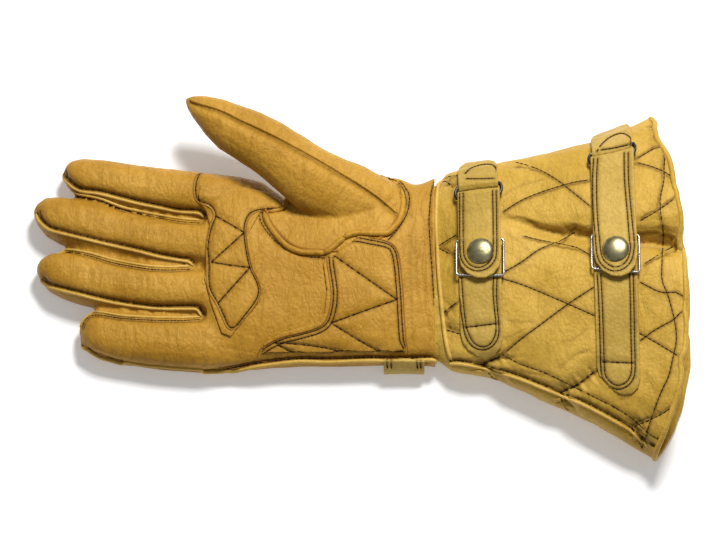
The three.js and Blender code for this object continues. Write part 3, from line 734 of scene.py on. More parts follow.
class LeatherSkinGroup:
    """The node group that colours and grains every leather."""

    name = "leather_skin"

    @classmethod
    def get(cls) -> bpy.types.NodeTree:
        """Return the group, made on first use."""
        return bpy.data.node_groups.get(cls.name) or cls._make()

    @classmethod
    def _make(cls) -> bpy.types.NodeTree:
        """Build the group: blotches, mottling, pebbles, wrinkles, and painted shade in the wrinkle lines and
        in the carved creases.

        Returns:
            The group.
        """
        tree = bpy.data.node_groups.new(cls.name, "ShaderNodeTree")
        face = tree.interface
        for label in ("Tone", "Deep", "Pale"):
            face.new_socket(label, in_out="INPUT", socket_type="NodeSocketColor")
        for label, start in (("Grain", 1000.0), ("Wrinkle", 150.0), ("Fold", 0.35), ("Rough", 0.5)):
            socket = face.new_socket(label, in_out="INPUT", socket_type="NodeSocketFloat")
            socket.default_value = start
        face.new_socket("Color", in_out="OUTPUT", socket_type="NodeSocketColor")
        face.new_socket("Roughness", in_out="OUTPUT", socket_type="NodeSocketFloat")
        face.new_socket("Height", in_out="OUTPUT", socket_type="NodeSocketFloat")
        board = Board(tree)
        given = board.add("NodeGroupInput")
        out = board.add("NodeGroupOutput")
        place = board.add("ShaderNodeTexCoord").outputs["Object"]

        blotch = board.noise(place, 26.0, 3.0, 0.55)
        mottle = board.noise(place, 230.0, 5.0, 0.7)
        pebble = board.add("ShaderNodeTexVoronoi")
        pebble.feature = "SMOOTH_F1"
        pebble.inputs["Smoothness"].default_value = 0.6
        warp = board.warped(place, 420.0, 0.0006)
        board.link(warp, pebble.inputs["Vector"])
        board.link(given.outputs["Grain"], pebble.inputs["Scale"])
        pore = board.noise(place, 2600.0, 2.0, 0.5)

        folds = board.add("ShaderNodeTexNoise")
        folds.inputs["Detail"].default_value = 4.0
        folds.inputs["Roughness"].default_value = 0.6
        folds.inputs["Distortion"].default_value = 0.9
        across = board.add("ShaderNodeMapping")
        across.inputs["Scale"].default_value = (1.0, 0.4, 1.0)
        board.link(place, across.inputs["Vector"])
        board.link(across.outputs["Vector"], folds.inputs["Vector"])
        board.link(given.outputs["Wrinkle"], folds.inputs["Scale"])
        ridge = board.math("ABSOLUTE", board.math("SUBTRACT", folds.outputs["Fac"], 0.5))
        flank = board.math("MULTIPLY", ridge, 3.2, clamp=True)
        line = board.math("POWER", board.math("SUBTRACT", 1.0, flank), 5.0)
        line = board.math("MULTIPLY", line, given.outputs["Fold"])

        # The carved lines' painted shade, kept on the mesh.
        crease = board.add("ShaderNodeAttribute")
        crease.attribute_name = "crease"
        painted_crease_shade = crease.outputs["Fac"]

        tone = board.mix(board.ramp(blotch, 0.35, 0.68), given.outputs["Tone"], given.outputs["Pale"])
        speck = board.math("MULTIPLY", board.ramp(mottle, 0.48, 0.8), 0.2)
        tone = board.mix(speck, tone, given.outputs["Deep"])
        # Painted shade in the wrinkle lines.
        tone = board.mix(board.math("MULTIPLY", line, 0.2), tone, given.outputs["Deep"])
        pit = board.math("MULTIPLY", board.ramp(pebble.outputs["Distance"], 0.35, 0.75), 0.1)
        tone = board.mix(pit, tone, given.outputs["Deep"])
        # Painted shade in the carved creases and valleys.
        tone = board.mix(board.math("MULTIPLY", painted_crease_shade, 0.85, clamp=True), tone, given.outputs["Deep"])
        board.link(tone, out.inputs["Color"])

        rough = board.math("MULTIPLY_ADD", mottle, 0.22, given.outputs["Rough"])
        rough = board.math("MULTIPLY_ADD", painted_crease_shade, 0.15, rough)
        board.link(rough, out.inputs["Roughness"])

        height = board.math("MULTIPLY", pebble.outputs["Distance"], -0.35)
        height = board.math("MULTIPLY_ADD", pore, 0.2, height)
        height = board.math("MULTIPLY_ADD", line, -0.8, height)
        height = board.math("MULTIPLY_ADD", mottle, 0.7, height)
        board.link(height, out.inputs["Height"])
        return tree


class Board:
    """Short ways to lay nodes in a tree."""

    def __init__(self, tree: bpy.types.NodeTree) -> None:
        """Take the tree to work on."""
        self.tree = tree

    def add(self, kind: str) -> bpy.types.Node:
        """Return a new node of a kind."""
        return self.tree.nodes.new(kind)

    def link(self, start: bpy.types.NodeSocket, end: bpy.types.NodeSocket) -> None:
        """Join an output to an input."""
        self.tree.links.new(start, end)

    def put(self, value: "bpy.types.NodeSocket | float", socket: bpy.types.NodeSocket) -> None:
        """Give a socket a link or a number.

        Args:
            value: An output to link, or a number.
            socket: The input that takes it.
        """
        if isinstance(value, bpy.types.NodeSocket):
            self.link(value, socket)
        else:
            socket.default_value = value

    def noise(
        self, place: bpy.types.NodeSocket, scale: float, detail: float, rough: float
    ) -> bpy.types.NodeSocket:
        """Return a noise's strength.

        Args:
            place: Where it is read.
            scale: Its waves a metre.
            detail: Its layers.
            rough: How strong the finer layers are.

        Returns:
            The output, from 0 to 1.
        """
        node = self.add("ShaderNodeTexNoise")
        self.link(place, node.inputs["Vector"])
        node.inputs["Scale"].default_value = scale
        node.inputs["Detail"].default_value = detail
        node.inputs["Roughness"].default_value = rough
        return node.outputs["Fac"]

    def warped(
        self, place: bpy.types.NodeSocket, scale: float, amount: float
    ) -> bpy.types.NodeSocket:
        """Return places pushed about by a noise.

        Args:
            place: The places.
            scale: The noise's waves a metre.
            amount: The longest push, in metres.

        Returns:
            The pushed places.
        """
        node = self.add("ShaderNodeTexNoise")
        self.link(place, node.inputs["Vector"])
        node.inputs["Scale"].default_value = scale
        push = self.add("ShaderNodeVectorMath")
        push.operation = "MULTIPLY_ADD"
        self.link(node.outputs["Color"], push.inputs[0])
        push.inputs[1].default_value = (amount,) * 3
        self.link(place, push.inputs[2])
        return push.outputs["Vector"]

    def math(
        self,
        kind: str,
        first: "bpy.types.NodeSocket | float",
        second: "bpy.types.NodeSocket | float" = 0.0,
        third: "bpy.types.NodeSocket | float" = 0.0,
        clamp: bool = False,
    ) -> bpy.types.NodeSocket:
        """Return the result of a sum.

        Args:
            kind: The operation.
            first: Its first value.
            second: Its second value.
            third: Its third value.
            clamp: Whether the result is kept from 0 to 1.

        Returns:
            The output.
        """
        node = self.add("ShaderNodeMath")
        node.operation = kind
        node.use_clamp = clamp
        for value, socket in zip((first, second, third), node.inputs):
            self.put(value, socket)
        return node.outputs[0]

    def ramp(self, value: bpy.types.NodeSocket, low: float, high: float) -> bpy.types.NodeSocket:
        """Spread a value smoothly from 0 to 1.

        Args:
            value: The value.
            low: Where the result is 0.
            high: Where the result is 1.

        Returns:
            The spread value.
        """
        node = self.add("ShaderNodeMapRange")
        node.interpolation_type = "SMOOTHSTEP"
        self.link(value, node.inputs["Value"])
        node.inputs["From Min"].default_value = low
        node.inputs["From Max"].default_value = high
        return node.outputs["Result"]

    def mix(
        self,
        share: "bpy.types.NodeSocket | float",
        first: "bpy.types.NodeSocket | Colour",
        second: "bpy.types.NodeSocket | Colour",
    ) -> bpy.types.NodeSocket:
        """Return a mix of two colours.

        Args:
            share: How much of the second shows.
            first: The first colour.
            second: The second colour.

        Returns:
            The mixed colour.
        """
        node = self.add("ShaderNodeMix")
        node.data_type = "RGBA"
        self.put(share, node.inputs["Factor"])
        for value, label in ((first, "A"), (second, "B")):
            socket = next(s for s in node.inputs if s.name == label and s.type == "RGBA")
            if isinstance(value, bpy.types.NodeSocket):
                self.link(value, socket)
            else:
                socket.default_value = (*value, 1.0)
        return next(s for s in node.outputs if s.type == "RGBA")


def fresh_material(name: str) -> tuple[bpy.types.Material, Board, bpy.types.Node]:
    """Start a material.

    Args:
        name: The material's name.

    Returns:
        The material, its board and its shader.
    """
    material = bpy.data.materials.new(name)
    material.use_nodes = True
    shader = next(n for n in material.node_tree.nodes if n.type == "BSDF_PRINCIPLED")
    return material, Board(material.node_tree), shader


@dataclass(frozen=True)
class LeatherFinish:
    """A finish of leather: its colours, its grain and its wrinkles, in millimetres."""

    name: str
    tone: Colour
    deep: Colour
    pale: Colour
    grain: float = 1.7
    wrinkle: float = 7.0
    # fold: the wrinkle lines' bump depth and the painted shade in them
    fold: float = 0.45
    rough: float = 0.37
    bump: float = 0.46
    sheen: float = 0.0

    def material(self) -> bpy.types.Material:
        """Return the finish as a material."""
        material, board, shader = fresh_material(self.name)
        skin = board.add("ShaderNodeGroup")
        skin.node_tree = LeatherSkinGroup.get()
        for label, colour in (("Tone", self.tone), ("Deep", self.deep), ("Pale", self.pale)):
            skin.inputs[label].default_value = (*colour, 1.0)
        skin.inputs["Grain"].default_value = 1 / (self.grain * MM)
        skin.inputs["Wrinkle"].default_value = 1 / (self.wrinkle * MM)
        skin.inputs["Fold"].default_value = self.fold
        skin.inputs["Rough"].default_value = self.rough
        board.link(skin.outputs["Color"], shader.inputs["Base Color"])
        board.link(skin.outputs["Roughness"], shader.inputs["Roughness"])
        bump = board.add("ShaderNodeBump")
        bump.inputs["Distance"].default_value = self.bump * MM
        board.link(skin.outputs["Height"], bump.inputs["Height"])
        board.link(bump.outputs["Normal"], shader.inputs["Normal"])
        shader.inputs["Sheen Weight"].default_value = self.sheen
        shader.inputs["Sheen Roughness"].default_value = 0.5
        shader.inputs["Specular IOR Level"].default_value = 0.38
        shader.inputs["Specular Tint"].default_value = (1.0, 0.74, 0.36, 1.0)
        return material


@dataclass(frozen=True)
class ThreadFinish:
    """Waxed thread, twisted and nearly black."""

    name: str
    tone: Colour
    worn: Colour

    def material(self) -> bpy.types.Material:
        """Return the finish as a material."""
        material, board, shader = fresh_material(self.name)
        place = board.add("ShaderNodeTexCoord").outputs["Object"]
        fuzz = board.noise(place, 900.0, 3.0, 0.6)
        board.link(board.mix(board.ramp(fuzz, 0.4, 0.8), self.tone, self.worn), shader.inputs["Base Color"])
        bump = board.add("ShaderNodeBump")
        bump.inputs["Distance"].default_value = 0.08 * MM
        board.link(board.noise(place, 3800.0, 2.0, 0.5), bump.inputs["Height"])
        board.link(bump.outputs["Normal"], shader.inputs["Normal"])
        shader.inputs["Roughness"].default_value = 0.8
        shader.inputs["Specular IOR Level"].default_value = 0.1
        return material


@dataclass(frozen=True)
class MetalFinish:
    """A metal: its bright and its tarnished colour, and how rough it is."""

    name: str
    tone: Colour
    tarnish: Colour
    rough: float
    share: float = 0.5

    def material(self) -> bpy.types.Material:
        """Return the finish as a material."""
        material, board, shader = fresh_material(self.name)
        place = board.add("ShaderNodeTexCoord").outputs["Object"]
        cloud = board.ramp(board.noise(place, 240.0, 5.0, 0.65), 0.35, 0.7)
        stain = board.math("MULTIPLY", cloud, self.share)
        board.link(board.mix(stain, self.tone, self.tarnish), shader.inputs["Base Color"])
        board.link(board.math("MULTIPLY_ADD", cloud, 0.15, self.rough), shader.inputs["Roughness"])
        bump = board.add("ShaderNodeBump")
        bump.inputs["Distance"].default_value = 0.03 * MM
        board.link(board.noise(place, 2200.0, 3.0, 0.6), bump.inputs["Height"])
        board.link(bump.outputs["Normal"], shader.inputs["Normal"])
        shader.inputs["Metallic"].default_value = 1.0
        return material


class Finish(Enum):
    """The glove's finishes."""

    HAND = LeatherFinish("hand_hide", (0.371, 0.182, 0.0152), (0.085, 0.03, 0.003), (0.466, 0.244, 0.03))
    PATCH = LeatherFinish("patch_hide", (0.378, 0.188, 0.0165), (0.09, 0.032, 0.003), (0.472, 0.25, 0.032))
    CUFF = LeatherFinish(
        "cuff_hide", (0.455, 0.272, 0.034), (0.11, 0.045, 0.005), (0.56, 0.35, 0.06), wrinkle=9.0
    )
    STRAP = LeatherFinish(
        "strap_hide", (0.39, 0.25, 0.042), (0.11, 0.05, 0.007), (0.46, 0.305, 0.066), fold=0.25
    )
    LINING = LeatherFinish(
        "lining_hide", (0.42, 0.27, 0.07), (0.14, 0.065, 0.012), (0.50, 0.33, 0.09), rough=0.6, sheen=0.1
    )
    # Paler than the hide beside it: a painted highlight on the raised cut edges.
    LIP = LeatherFinish(
        "painted_highlight_edge_hide", (0.50, 0.30, 0.055), (0.18, 0.08, 0.01), (0.60, 0.39, 0.09), grain=0.9, fold=0.15
    )
    # The raw cut edge's own brown, made deeper by painted shade: the shadow along the patches' edges and
    # along the thumb's set-in edge.
    RAW_EDGE = LeatherFinish(
        "cut_edge_hide_with_painted_shade", (0.24, 0.098, 0.011), (0.08, 0.027, 0.003),
            (0.32, 0.14, 0.018), grain=0.9, fold=0.1
    )
    THREAD = ThreadFinish("dark_thread", (0.006, 0.004, 0.003), (0.018, 0.011, 0.006))
    GUNMETAL = MetalFinish("gunmetal", (0.07, 0.068, 0.065), (0.025, 0.022, 0.02), 0.34)
    NICKEL = MetalFinish("nickel", (0.52, 0.51, 0.48), (0.26, 0.24, 0.21), 0.26, 0.6)
    SNAP = MetalFinish("antique_brass", (0.50, 0.445, 0.24), (0.10, 0.088, 0.04), 0.28, 0.9)

    def material(self) -> bpy.types.Material:
        """Return the finish's material, made on first use."""
        return bpy.data.materials.get(self.value.name) or self.value.material()


# The finger seams and side seam, from the fingertips to the hand. A lip lies outside its seam.
HAND_SEAMS = (
    Line(Run.SEAM, ((62, 171), (68, 179), (80, 188), (100, 191), (120, 196), (140, 201), (160, 205),
        (180, 209), (200, 210.5), (206, 216)), -3.0),
    Line(Run.SEAM, ((36, 203), (42, 197), (50, 194), (60, 193.5), (80, 197), (100, 201), (120, 209),
        (140, 214), (160, 218), (180, 221.5), (200, 223)), 2.6),
    Line(Run.SEAM, ((37, 212), (42, 220), (50, 227), (60, 230), (80, 235), (100, 240), (120, 244.5),
        (140, 249), (160, 254), (180, 257.5), (190, 259), (195, 264)), -3.0),
    Line(Run.SEAM, ((41, 259), (50, 253.5), (70, 252.5), (90, 256), (110, 262), (130, 266),
        (150, 269), (170, 270), (190, 269)), 2.6),
    Line(Run.SEAM, ((41, 279), (50, 284), (60, 287), (80, 292), (100, 297), (120, 301), (140, 304),
        (160, 306), (195, 306), (200, 309), (204, 315)), -3.0),
    Line(Run.SEAM, ((82, 328), (84, 322), (90, 316), (100, 315), (120, 318), (150, 320), (180, 320.5),
        (200, 319.5)), 2.4),
)
SIDE_SEAM = Line(
    Run.SIDE_SEAM,
    ((82, 345), (90, 351), (100, 356), (120, 362), (140, 366), (160, 368), (180, 369.5), (200, 371),
     (215, 371), (230, 368.5), (250, 364.5), (270, 361.5), (300, 358.5), (330, 359), (370, 357.5),
         (400, 358.5), (430, 357), (443, 360)),
    -3.0,
)
PALM_CREASES = (
    Line(Run.CREASE, ((289, 201), (300, 207), (312, 209.5), (325, 214), (342, 218))),
    Line(Run.CREASE, ((286, 204), (298, 213), (310, 221), (318, 228))),
    Line(Run.WRINKLE, ((292, 208), (306, 213), (322, 222), (336, 226))),
    Line(Run.CREASE, ((268, 216), (276, 229), (290, 240), (305, 245))),
    Line(Run.WRINKLE, ((407, 200), (414, 228), (416, 260), (419, 300), (420, 330))),
    Line(Run.WRINKLE, ((420, 200), (424, 235), (423, 270), (427, 310), (430, 340))),
    Line(Run.WRINKLE, ((409, 235), (410, 270), (411, 305), (414, 345))),
    Line(Run.WRINKLE, ((216, 345), (236, 350), (252, 352))),
    Line(Run.WRINKLE, ((206, 336), (222, 352), (240, 358))),
    Line(Run.WRINKLE, ((425, 190), (428, 198), (430, 206))),
)
FINGER_CREASES = (
    Line(Run.WRINKLE, ((96, 157), (99, 166), (100, 178), (97, 189))),
    Line(Run.RING_WRINKLE, ((106, 158), (109, 170), (108, 190))),
    Line(Run.WRINKLE, ((143, 165), (147, 176), (147, 190), (143, 201))),
    Line(Run.WRINKLE, ((152, 167), (156, 182), (154, 203))),
    Line(Run.WRINKLE, ((82, 197), (86, 208), (86, 222), (82, 235))),
    Line(Run.WRINKLE, ((92, 200), (95, 216), (93, 237))),
    Line(Run.WRINKLE, ((72, 197), (76, 213), (73, 232))),
    Line(Run.WRINKLE, ((137, 214), (142, 226), (142, 240), (137, 248))),
    Line(Run.WRINKLE, ((128, 212), (132, 226), (129, 245))),
    Line(Run.WRINKLE, ((148, 216), (152, 232), (150, 250))),
    Line(Run.WRINKLE, ((86, 256), (90, 268), (90, 282), (86, 293))),
    Line(Run.WRINKLE, ((96, 258), (100, 276), (97, 295))),
    Line(Run.WRINKLE, ((143, 268), (148, 282), (147, 296), (143, 303))),
    Line(Run.WRINKLE, ((134, 267), (138, 284), (134, 302))),
    Line(Run.WRINKLE, ((155, 269), (159, 286), (157, 304))),
    Line(Run.WRINKLE, ((120, 318), (124, 332), (123, 348), (119, 361))),
    Line(Run.WRINKLE, ((130, 319), (134, 338), (131, 362))),
    Line(Run.WRINKLE, ((163, 321), (167, 338), (166, 354), (162, 367))),
    Line(Run.WRINKLE, ((173, 322), (177, 342), (174, 367))),
)
FORK_CORNERS = (
    Line(Run.CREASE, ((196, 219), (201, 218), (207, 217))),
    Line(Run.CREASE, ((184, 264), (190, 264), (196, 265))),
    Line(Run.CREASE, ((193, 315), (199, 314), (205, 316))),
)
THUMB_SEAM = Line(
    Run.THUMB_SEAM,
    ((184, 100), (200, 106), (220, 112), (240, 122), (260, 131), (280, 141), (300, 152), (320, 163),
     (340, 175), (360, 187), (380, 201), (397, 216)),
    2.6,
)
THUMB_CREASES = (
    Line(Run.WRINKLE, ((226, 102), (222, 110), (218, 122), (216, 138))),
    Line(Run.RING_WRINKLE, ((240, 105), (236, 118), (231, 134), (230, 152))),
    Line(Run.WRINKLE, ((262, 112), (258, 124), (252, 138), (247, 158))),
    Line(Run.RING_WRINKLE, ((284, 124), (279, 140), (272, 156), (266, 176))),
    Line(Run.WRINKLE, ((314, 140), (309, 152), (304, 168), (302, 190))),
    Line(Run.RING_WRINKLE, ((336, 152), (332, 170), (326, 190), (316, 206))),
    Line(Run.WRINKLE, ((352, 170), (346, 186), (338, 200), (330, 214))),
    Line(Run.RING_WRINKLE, ((368, 176), (362, 196), (352, 212), (340, 224))),
    Line(Run.RING_WRINKLE, ((382, 186), (376, 204), (364, 220), (352, 232))),
)
# The palm leather's edge where the thumb is set in, with its double row of stitches.
SET_IN_ROWS = (
    Line(Run.ARC, ((392, 178), (402, 187), (406, 200), (404, 212), (396, 225), (385, 238))),
    Line(Run.ARC, ((400, 180), (408, 192), (409.5, 200), (407, 213), (400, 226), (388, 240))),
    Line(Run.ARC, ((258.5, 211), (260, 220), (268, 233), (280, 245), (295, 253), (310, 257), (325, 258))),
    Line(Run.ARC, ((262, 211), (264, 220), (272, 232), (284, 243), (298, 250), (312, 253.5), (325, 254.5))),
)
SET_IN_EDGES = (
    Line(Run.GAP, ((374, 169), (382, 173), (391, 180), (397.5, 188), (401.5, 197), (402, 205),
        (399, 215), (390, 229), (380, 238), (366, 246))),
    Line(Run.GAP, ((263, 205), (266, 211), (270, 222), (278, 232), (290, 243), (300, 248), (312, 250),
        (325, 250.5), (340, 251))),
)
# The folded leather that closes the palm's opening round the thumb. Its lip is how far aside the palm is
# read.
SET_IN_HEMS = (
    Line(Run.GAP, ((264, 212), (267.5, 222), (274, 232.5), (285.5, 244.5), (298, 251), (312, 252.5),
        (326, 253)), -4.5),
    Line(Run.GAP, ((286, 197), (287.5, 201), (284.5, 206), (278, 210), (268, 212)), -4.5),
    Line(Run.GAP, ((322, 253), (328, 251), (334, 246), (340, 240.5), (345, 237.5)), -4.5),
    Line(
        Run.GAP,
        ((383, 172), (391, 178), (398, 186), (402.5, 196), (403, 206), (401, 216), (396, 225),
         (388, 231.5), (375, 233), (360, 232.5), (350, 234), (343, 238)),
        4.5,
    ),
)
KNUCKLE_OUTLINE = Line(
    Run.EDGE,
    ((212, 171), (203, 171.5), (198, 177), (195.5, 188), (197, 198), (202, 202), (209, 204),
     (214, 209), (216, 216), (213, 223), (210, 233), (208, 248), (209, 262), (209, 280), (211, 291),
         (218, 303), (224, 316), (228, 325), (231, 328), (236, 326), (245, 315), (254, 303),
             (258.5, 293), (257, 283), (250, 268), (246, 250), (244, 233), (245, 222), (249, 214),
                 (257, 210), (270, 208.5), (282, 209), (287, 204.5), (285, 198), (278, 189),
                     (270, 183), (259, 178.5), (240, 175), (222, 171.5), (213, 171)),
)
KNUCKLE_ZIGZAG = (
    Line(Run.ZIGZAG, ((216, 216), (230, 224), (244, 232.5))),
    Line(Run.ZIGZAG, ((244, 232.5), (228, 247), (211, 262))),
    Line(Run.ZIGZAG, ((211, 262), (230, 265), (250, 267.5))),
    Line(Run.ZIGZAG, ((250, 267.5), (234, 285), (218, 303))),
)
HEEL_OUTLINE = Line(
    Run.EDGE,
    ((330, 250), (341, 243), (353, 237.5), (370, 240), (388, 244), (395, 251), (398, 265),
     (399.5, 280), (401, 300), (402, 320), (403.5, 340), (405, 354), (380, 356.5), (350, 357),
         (320, 357.5), (290, 358), (266, 360), (260, 357), (262, 351), (270, 345), (283, 339),
             (300, 335), (318, 329.5), (327, 323), (331.5, 311), (333.5, 295), (332, 280),
                 (329.5, 264), (329, 252)),
)
HEEL_ZIGZAG = (
    Line(Run.ZIGZAG, ((332, 254), (364, 276.5), (397, 299.5))),
    Line(Run.ZIGZAG, ((397, 299.5), (364, 311), (331, 323))),
    Line(Run.ZIGZAG, ((331, 323), (358, 340), (387, 356))),
    Line(Run.ZIGZAG, ((275, 343), (300, 344.5), (330, 349), (355, 356))),
    Line(Run.ZIGZAG, ((275, 343), (287, 350), (300, 356))),
)
LOOP_ROWS = (
    Line(Run.EDGE, ((387, 359), (387, 364), (387.5, 369))),
    Line(Run.EDGE, ((391, 359), (391, 364), (391.5, 369))),
    Line(Run.EDGE, ((417, 359), (417, 364), (417.5, 369))),
    Line(Run.EDGE, ((420.5, 359), (420.5, 364), (421, 369))),
)
WRIST_ROW = Line(
    Run.TOPSTITCH,
    ((437, 178), (432, 188), (430, 204), (429, 220), (429.5, 235), (430.5, 250), (432, 270),
     (432.5, 280), (434, 297), (435, 310), (438, 335), (442, 352), (446, 360)),
)
WRIST_EDGE = Line(
    Run.CREASE,
    ((442, 176), (437, 188), (435.5, 204), (434.5, 220), (435, 235), (436, 250), (437.5, 270),
     (438, 282), (439.5, 297), (440.5, 310), (443, 335), (446.5, 352), (450, 360)),
)
WRIST_LIP = Line(
    Run.CREASE,
    ((449, 170.5), (443.5, 174.5), (440, 181), (437.5, 190), (436.5, 204), (436, 220), (436.5, 235),
     (437.5, 250), (438.5, 270), (439.5, 282), (441, 297), (442, 310), (445, 335), (448.5, 352),
         (452, 360)),
)


# How uneven each shell is: the length and depth of its waves, in millimetres, and their seed.
SHELL_ROLLS = ((34.0, 0.7, 1.3), (10.0, 0.3, 5.2))
THUMB_ROLLS = ((26.0, 0.5, 2.1), (9.0, 0.3, 0.7))
CUFF_ROLLS = ((42.0, 1.0, 4.4), (13.0, 0.5, 2.6))


@dataclass
class Hand:
    """The hand: its shell with four fingers, the thumb, the two palm patches and the side loop."""

    nodes: dict[str, bpy.types.Object]
    voxel: float = 1.1
    closing: float = 0.9
    rounds: int = 26
    thumb_voxel: float = 0.8
    patch_voxel: float = 0.5
    knuckle_rounds: int = 22
    heel_rounds: int = 16
    loop_rounds: int = 20
    inner_row_gap: float = 3.8
    lip_radius: float = 0.8
    side_lip_radius: float = 1.15
    ridge_radius: float = 0.8
    edge_radius: float = 0.9
    hem_radius: float = 1.8
    patch_edge_gap: float = 2.4
    patch_edge_radius: float = 0.3
    skins: dict[str, Skin] = field(default_factory=dict)

    def build(self) -> None:
        """Build and dress every piece of the hand."""
        shell = self._skin("hand_shell", self.voxel, self.rounds, self.closing)
        for wave, height, seed in SHELL_ROLLS:
            shell.roll(wave, height, seed)
        seams = [*HAND_SEAMS, SIDE_SEAM, *PALM_CREASES, *FINGER_CREASES, *FORK_CORNERS]
        shell.carve([*seams, *SET_IN_ROWS, WRIST_ROW, KNUCKLE_OUTLINE])
        thumb = self._skin("thumb", self.thumb_voxel, self.rounds)
        for wave, height, seed in THUMB_ROLLS:
            thumb.roll(wave, height, seed)
        thumb.carve([THUMB_SEAM, *THUMB_CREASES])
        palm = shell.tree()
        knuckle = self._skin("knuckle_patch", self.patch_voxel, self.knuckle_rounds)
        knuckle.drape(palm)
        knuckle.carve([KNUCKLE_OUTLINE, *KNUCKLE_ZIGZAG])
        heel = self._skin("heel_patch", self.patch_voxel, self.heel_rounds)
        heel.drape(palm)
        heel.carve([HEEL_OUTLINE, *self._inner_row(), *HEEL_ZIGZAG])
        loop = self._skin("side_loop", self.patch_voxel, self.loop_rounds)
        loop.carve(list(LOOP_ROWS))
        self._sew()
        self._lips()
        for node, finish, slot in (
            ("hand_shell", Finish.HAND, "hand_leather"),
            ("thumb", Finish.HAND, "hand_leather"),
            ("knuckle_patch", Finish.PATCH, "patch_leather"),
            ("heel_patch", Finish.PATCH, "patch_leather"),
            ("side_loop", Finish.STRAP, "hand_leather"),
        ):
            self.skins[node].dress(finish.material(), slot)

    def _skin(self, node: str, voxel: float, rounds: int, closing: float = 0.0) -> Skin:
        """Return a new skin and keep it by its node's name."""
        self.skins[node] = Skin(self.nodes, node, voxel, rounds, closing)
        return self.skins[node]

    def _inner_row(self) -> list[Line]:
        """Return the second row of stitches inside the heel patch's outline."""
        return [HEEL_OUTLINE.beside(-self.inner_row_gap)]

    def _sew(self) -> None:
        """Lay the hand's stitches."""
        thread = Thread("hand_stitching")
        for node, lines in (
            ("hand_shell", [*HAND_SEAMS, SIDE_SEAM, *SET_IN_ROWS, WRIST_ROW]),
            ("thumb", [THUMB_SEAM]),
            ("knuckle_patch", [KNUCKLE_OUTLINE, *KNUCKLE_ZIGZAG]),
            ("heel_patch", [HEEL_OUTLINE, *self._inner_row(), *HEEL_ZIGZAG]),
            ("side_loop", LOOP_ROWS),
        ):
            sewn_on = ["hand_shell", node] if node == "knuckle_patch" else [node]
            tree = joined([self.skins[name] for name in sewn_on])
            for line in lines:
                thread.sew(tree, line)
        LOG.info("%s: %d stitches", thread.name, thread.count)
        thread.dress(Finish.THREAD.material())

    def _lips(self) -> None:
        """Lay the raised cut edges beside the seams."""
        lips = Welt("seam_edges")
        shell, thumb = self.skins["hand_shell"].tree(), self.skins["thumb"].tree()
        for line in HAND_SEAMS:
            lips.lay(shell, line.beside(line.lip), self.lip_radius)
        lips.lay(shell, SIDE_SEAM.beside(SIDE_SEAM.lip), self.side_lip_radius)
        # The lips' paler finish is a painted highlight.
        lips.dress(Finish.LIP.material(), "hand_leather")
        ridge = Welt("thumb_ridge")
        ridge.lay(thumb, THUMB_SEAM.beside(THUMB_SEAM.lip), self.ridge_radius, 0.6)
        ridge.dress(Finish.HAND.material(), "hand_leather")
        edge = Welt("thumb_set_in_edge")
        hem = Welt("thumb_set_in_hem")
        both = joined([self.skins["hand_shell"], self.skins["thumb"]])
        for line in SET_IN_EDGES:
            edge.lay(both, line, self.edge_radius, 0.5)
        for line in SET_IN_HEMS:
            hem.lay(shell, line, self.hem_radius, 0.6, line.lip)
        # The set-in edge wears the raw edge's brown with painted shade.
        edge.dress(Finish.RAW_EDGE.material(), "hand_leather")
        hem.dress(Finish.HAND.material(), "hand_leather")
        rims = Welt("patch_edges")
        palm = joined([self.skins[name] for name in ("hand_shell", "knuckle_patch", "heel_patch")])
        rims.lay(palm, KNUCKLE_OUTLINE.beside(-self.patch_edge_gap), self.patch_edge_radius)
        rims.lay(palm, HEEL_OUTLINE.beside(self.patch_edge_gap), self.patch_edge_radius)
        # The patch rims wear the raw edge's brown with painted shade.
        rims.dress(Finish.RAW_EDGE.material(), "patch_leather")


QUILTING = (
    Line(Run.QUILT, ((503, 212), (520, 201), (540, 192.5), (560, 186), (575, 182), (588, 180))),
    Line(Run.QUILT, ((515, 162), (530, 166), (545, 172.5), (560, 182), (575, 194), (590, 206))),
    Line(Run.QUILT, ((500, 274), (520, 263), (540, 249), (560, 241), (570, 235), (575, 232))),
    Line(Run.QUILT, ((500, 278), (520, 284), (540, 292), (568, 304), (595, 316))),
    Line(Run.QUILT, ((482, 365), (502, 355), (520, 340), (540, 325), (568, 304), (580, 296), (594, 287))),
    Line(Run.QUILT, ((562, 392), (575, 386), (585, 379), (596, 370))),
    Line(Run.QUILT, ((437, 247), (446, 241), (456, 235))),
    Line(Run.QUILT, ((437, 247), (446, 252), (456, 257))),
    Line(Run.QUILT, ((440, 316), (448, 309), (456, 303))),
    Line(Run.QUILT, ((442, 328.5), (450, 331), (460, 334))),
    Line(Run.QUILT, ((441, 180), (446, 181), (455, 190))),
    Line(Run.QUILT, ((638, 158), (648, 152), (655, 148), (663, 147), (668, 142), (673, 139), (678, 140))),
    Line(Run.QUILT, ((637, 162.5), (650, 166), (663, 171), (672, 177), (679, 185))),
    Line(Run.QUILT, ((640, 221), (660, 209), (678, 196))),
    Line(Run.QUILT, ((644, 264), (660, 254), (670, 248), (684, 241))),
    Line(Run.QUILT, ((640, 282), (655, 290), (665, 293), (675, 292), (684, 297))),
    Line(Run.QUILT, ((640, 341), (655, 330), (673, 320), (680, 313), (687, 310))),
    Line(Run.QUILT, ((639, 333), (655, 342), (675, 354), (688, 361))),
    Line(Run.QUILT, ((632, 427), (645, 422), (660, 415), (671, 408))),
    Line(Run.QUILT, ((481, 366), (488, 373), (496, 381))),
    Line(Run.QUILT, ((559, 394), (563, 403), (568, 412))),
    Line(Run.QUILT, ((632, 428), (637, 438), (642, 448))),
    Line(Run.QUILT, ((524, 236), (535, 239), (550, 242), (575, 247), (590, 255))),
)
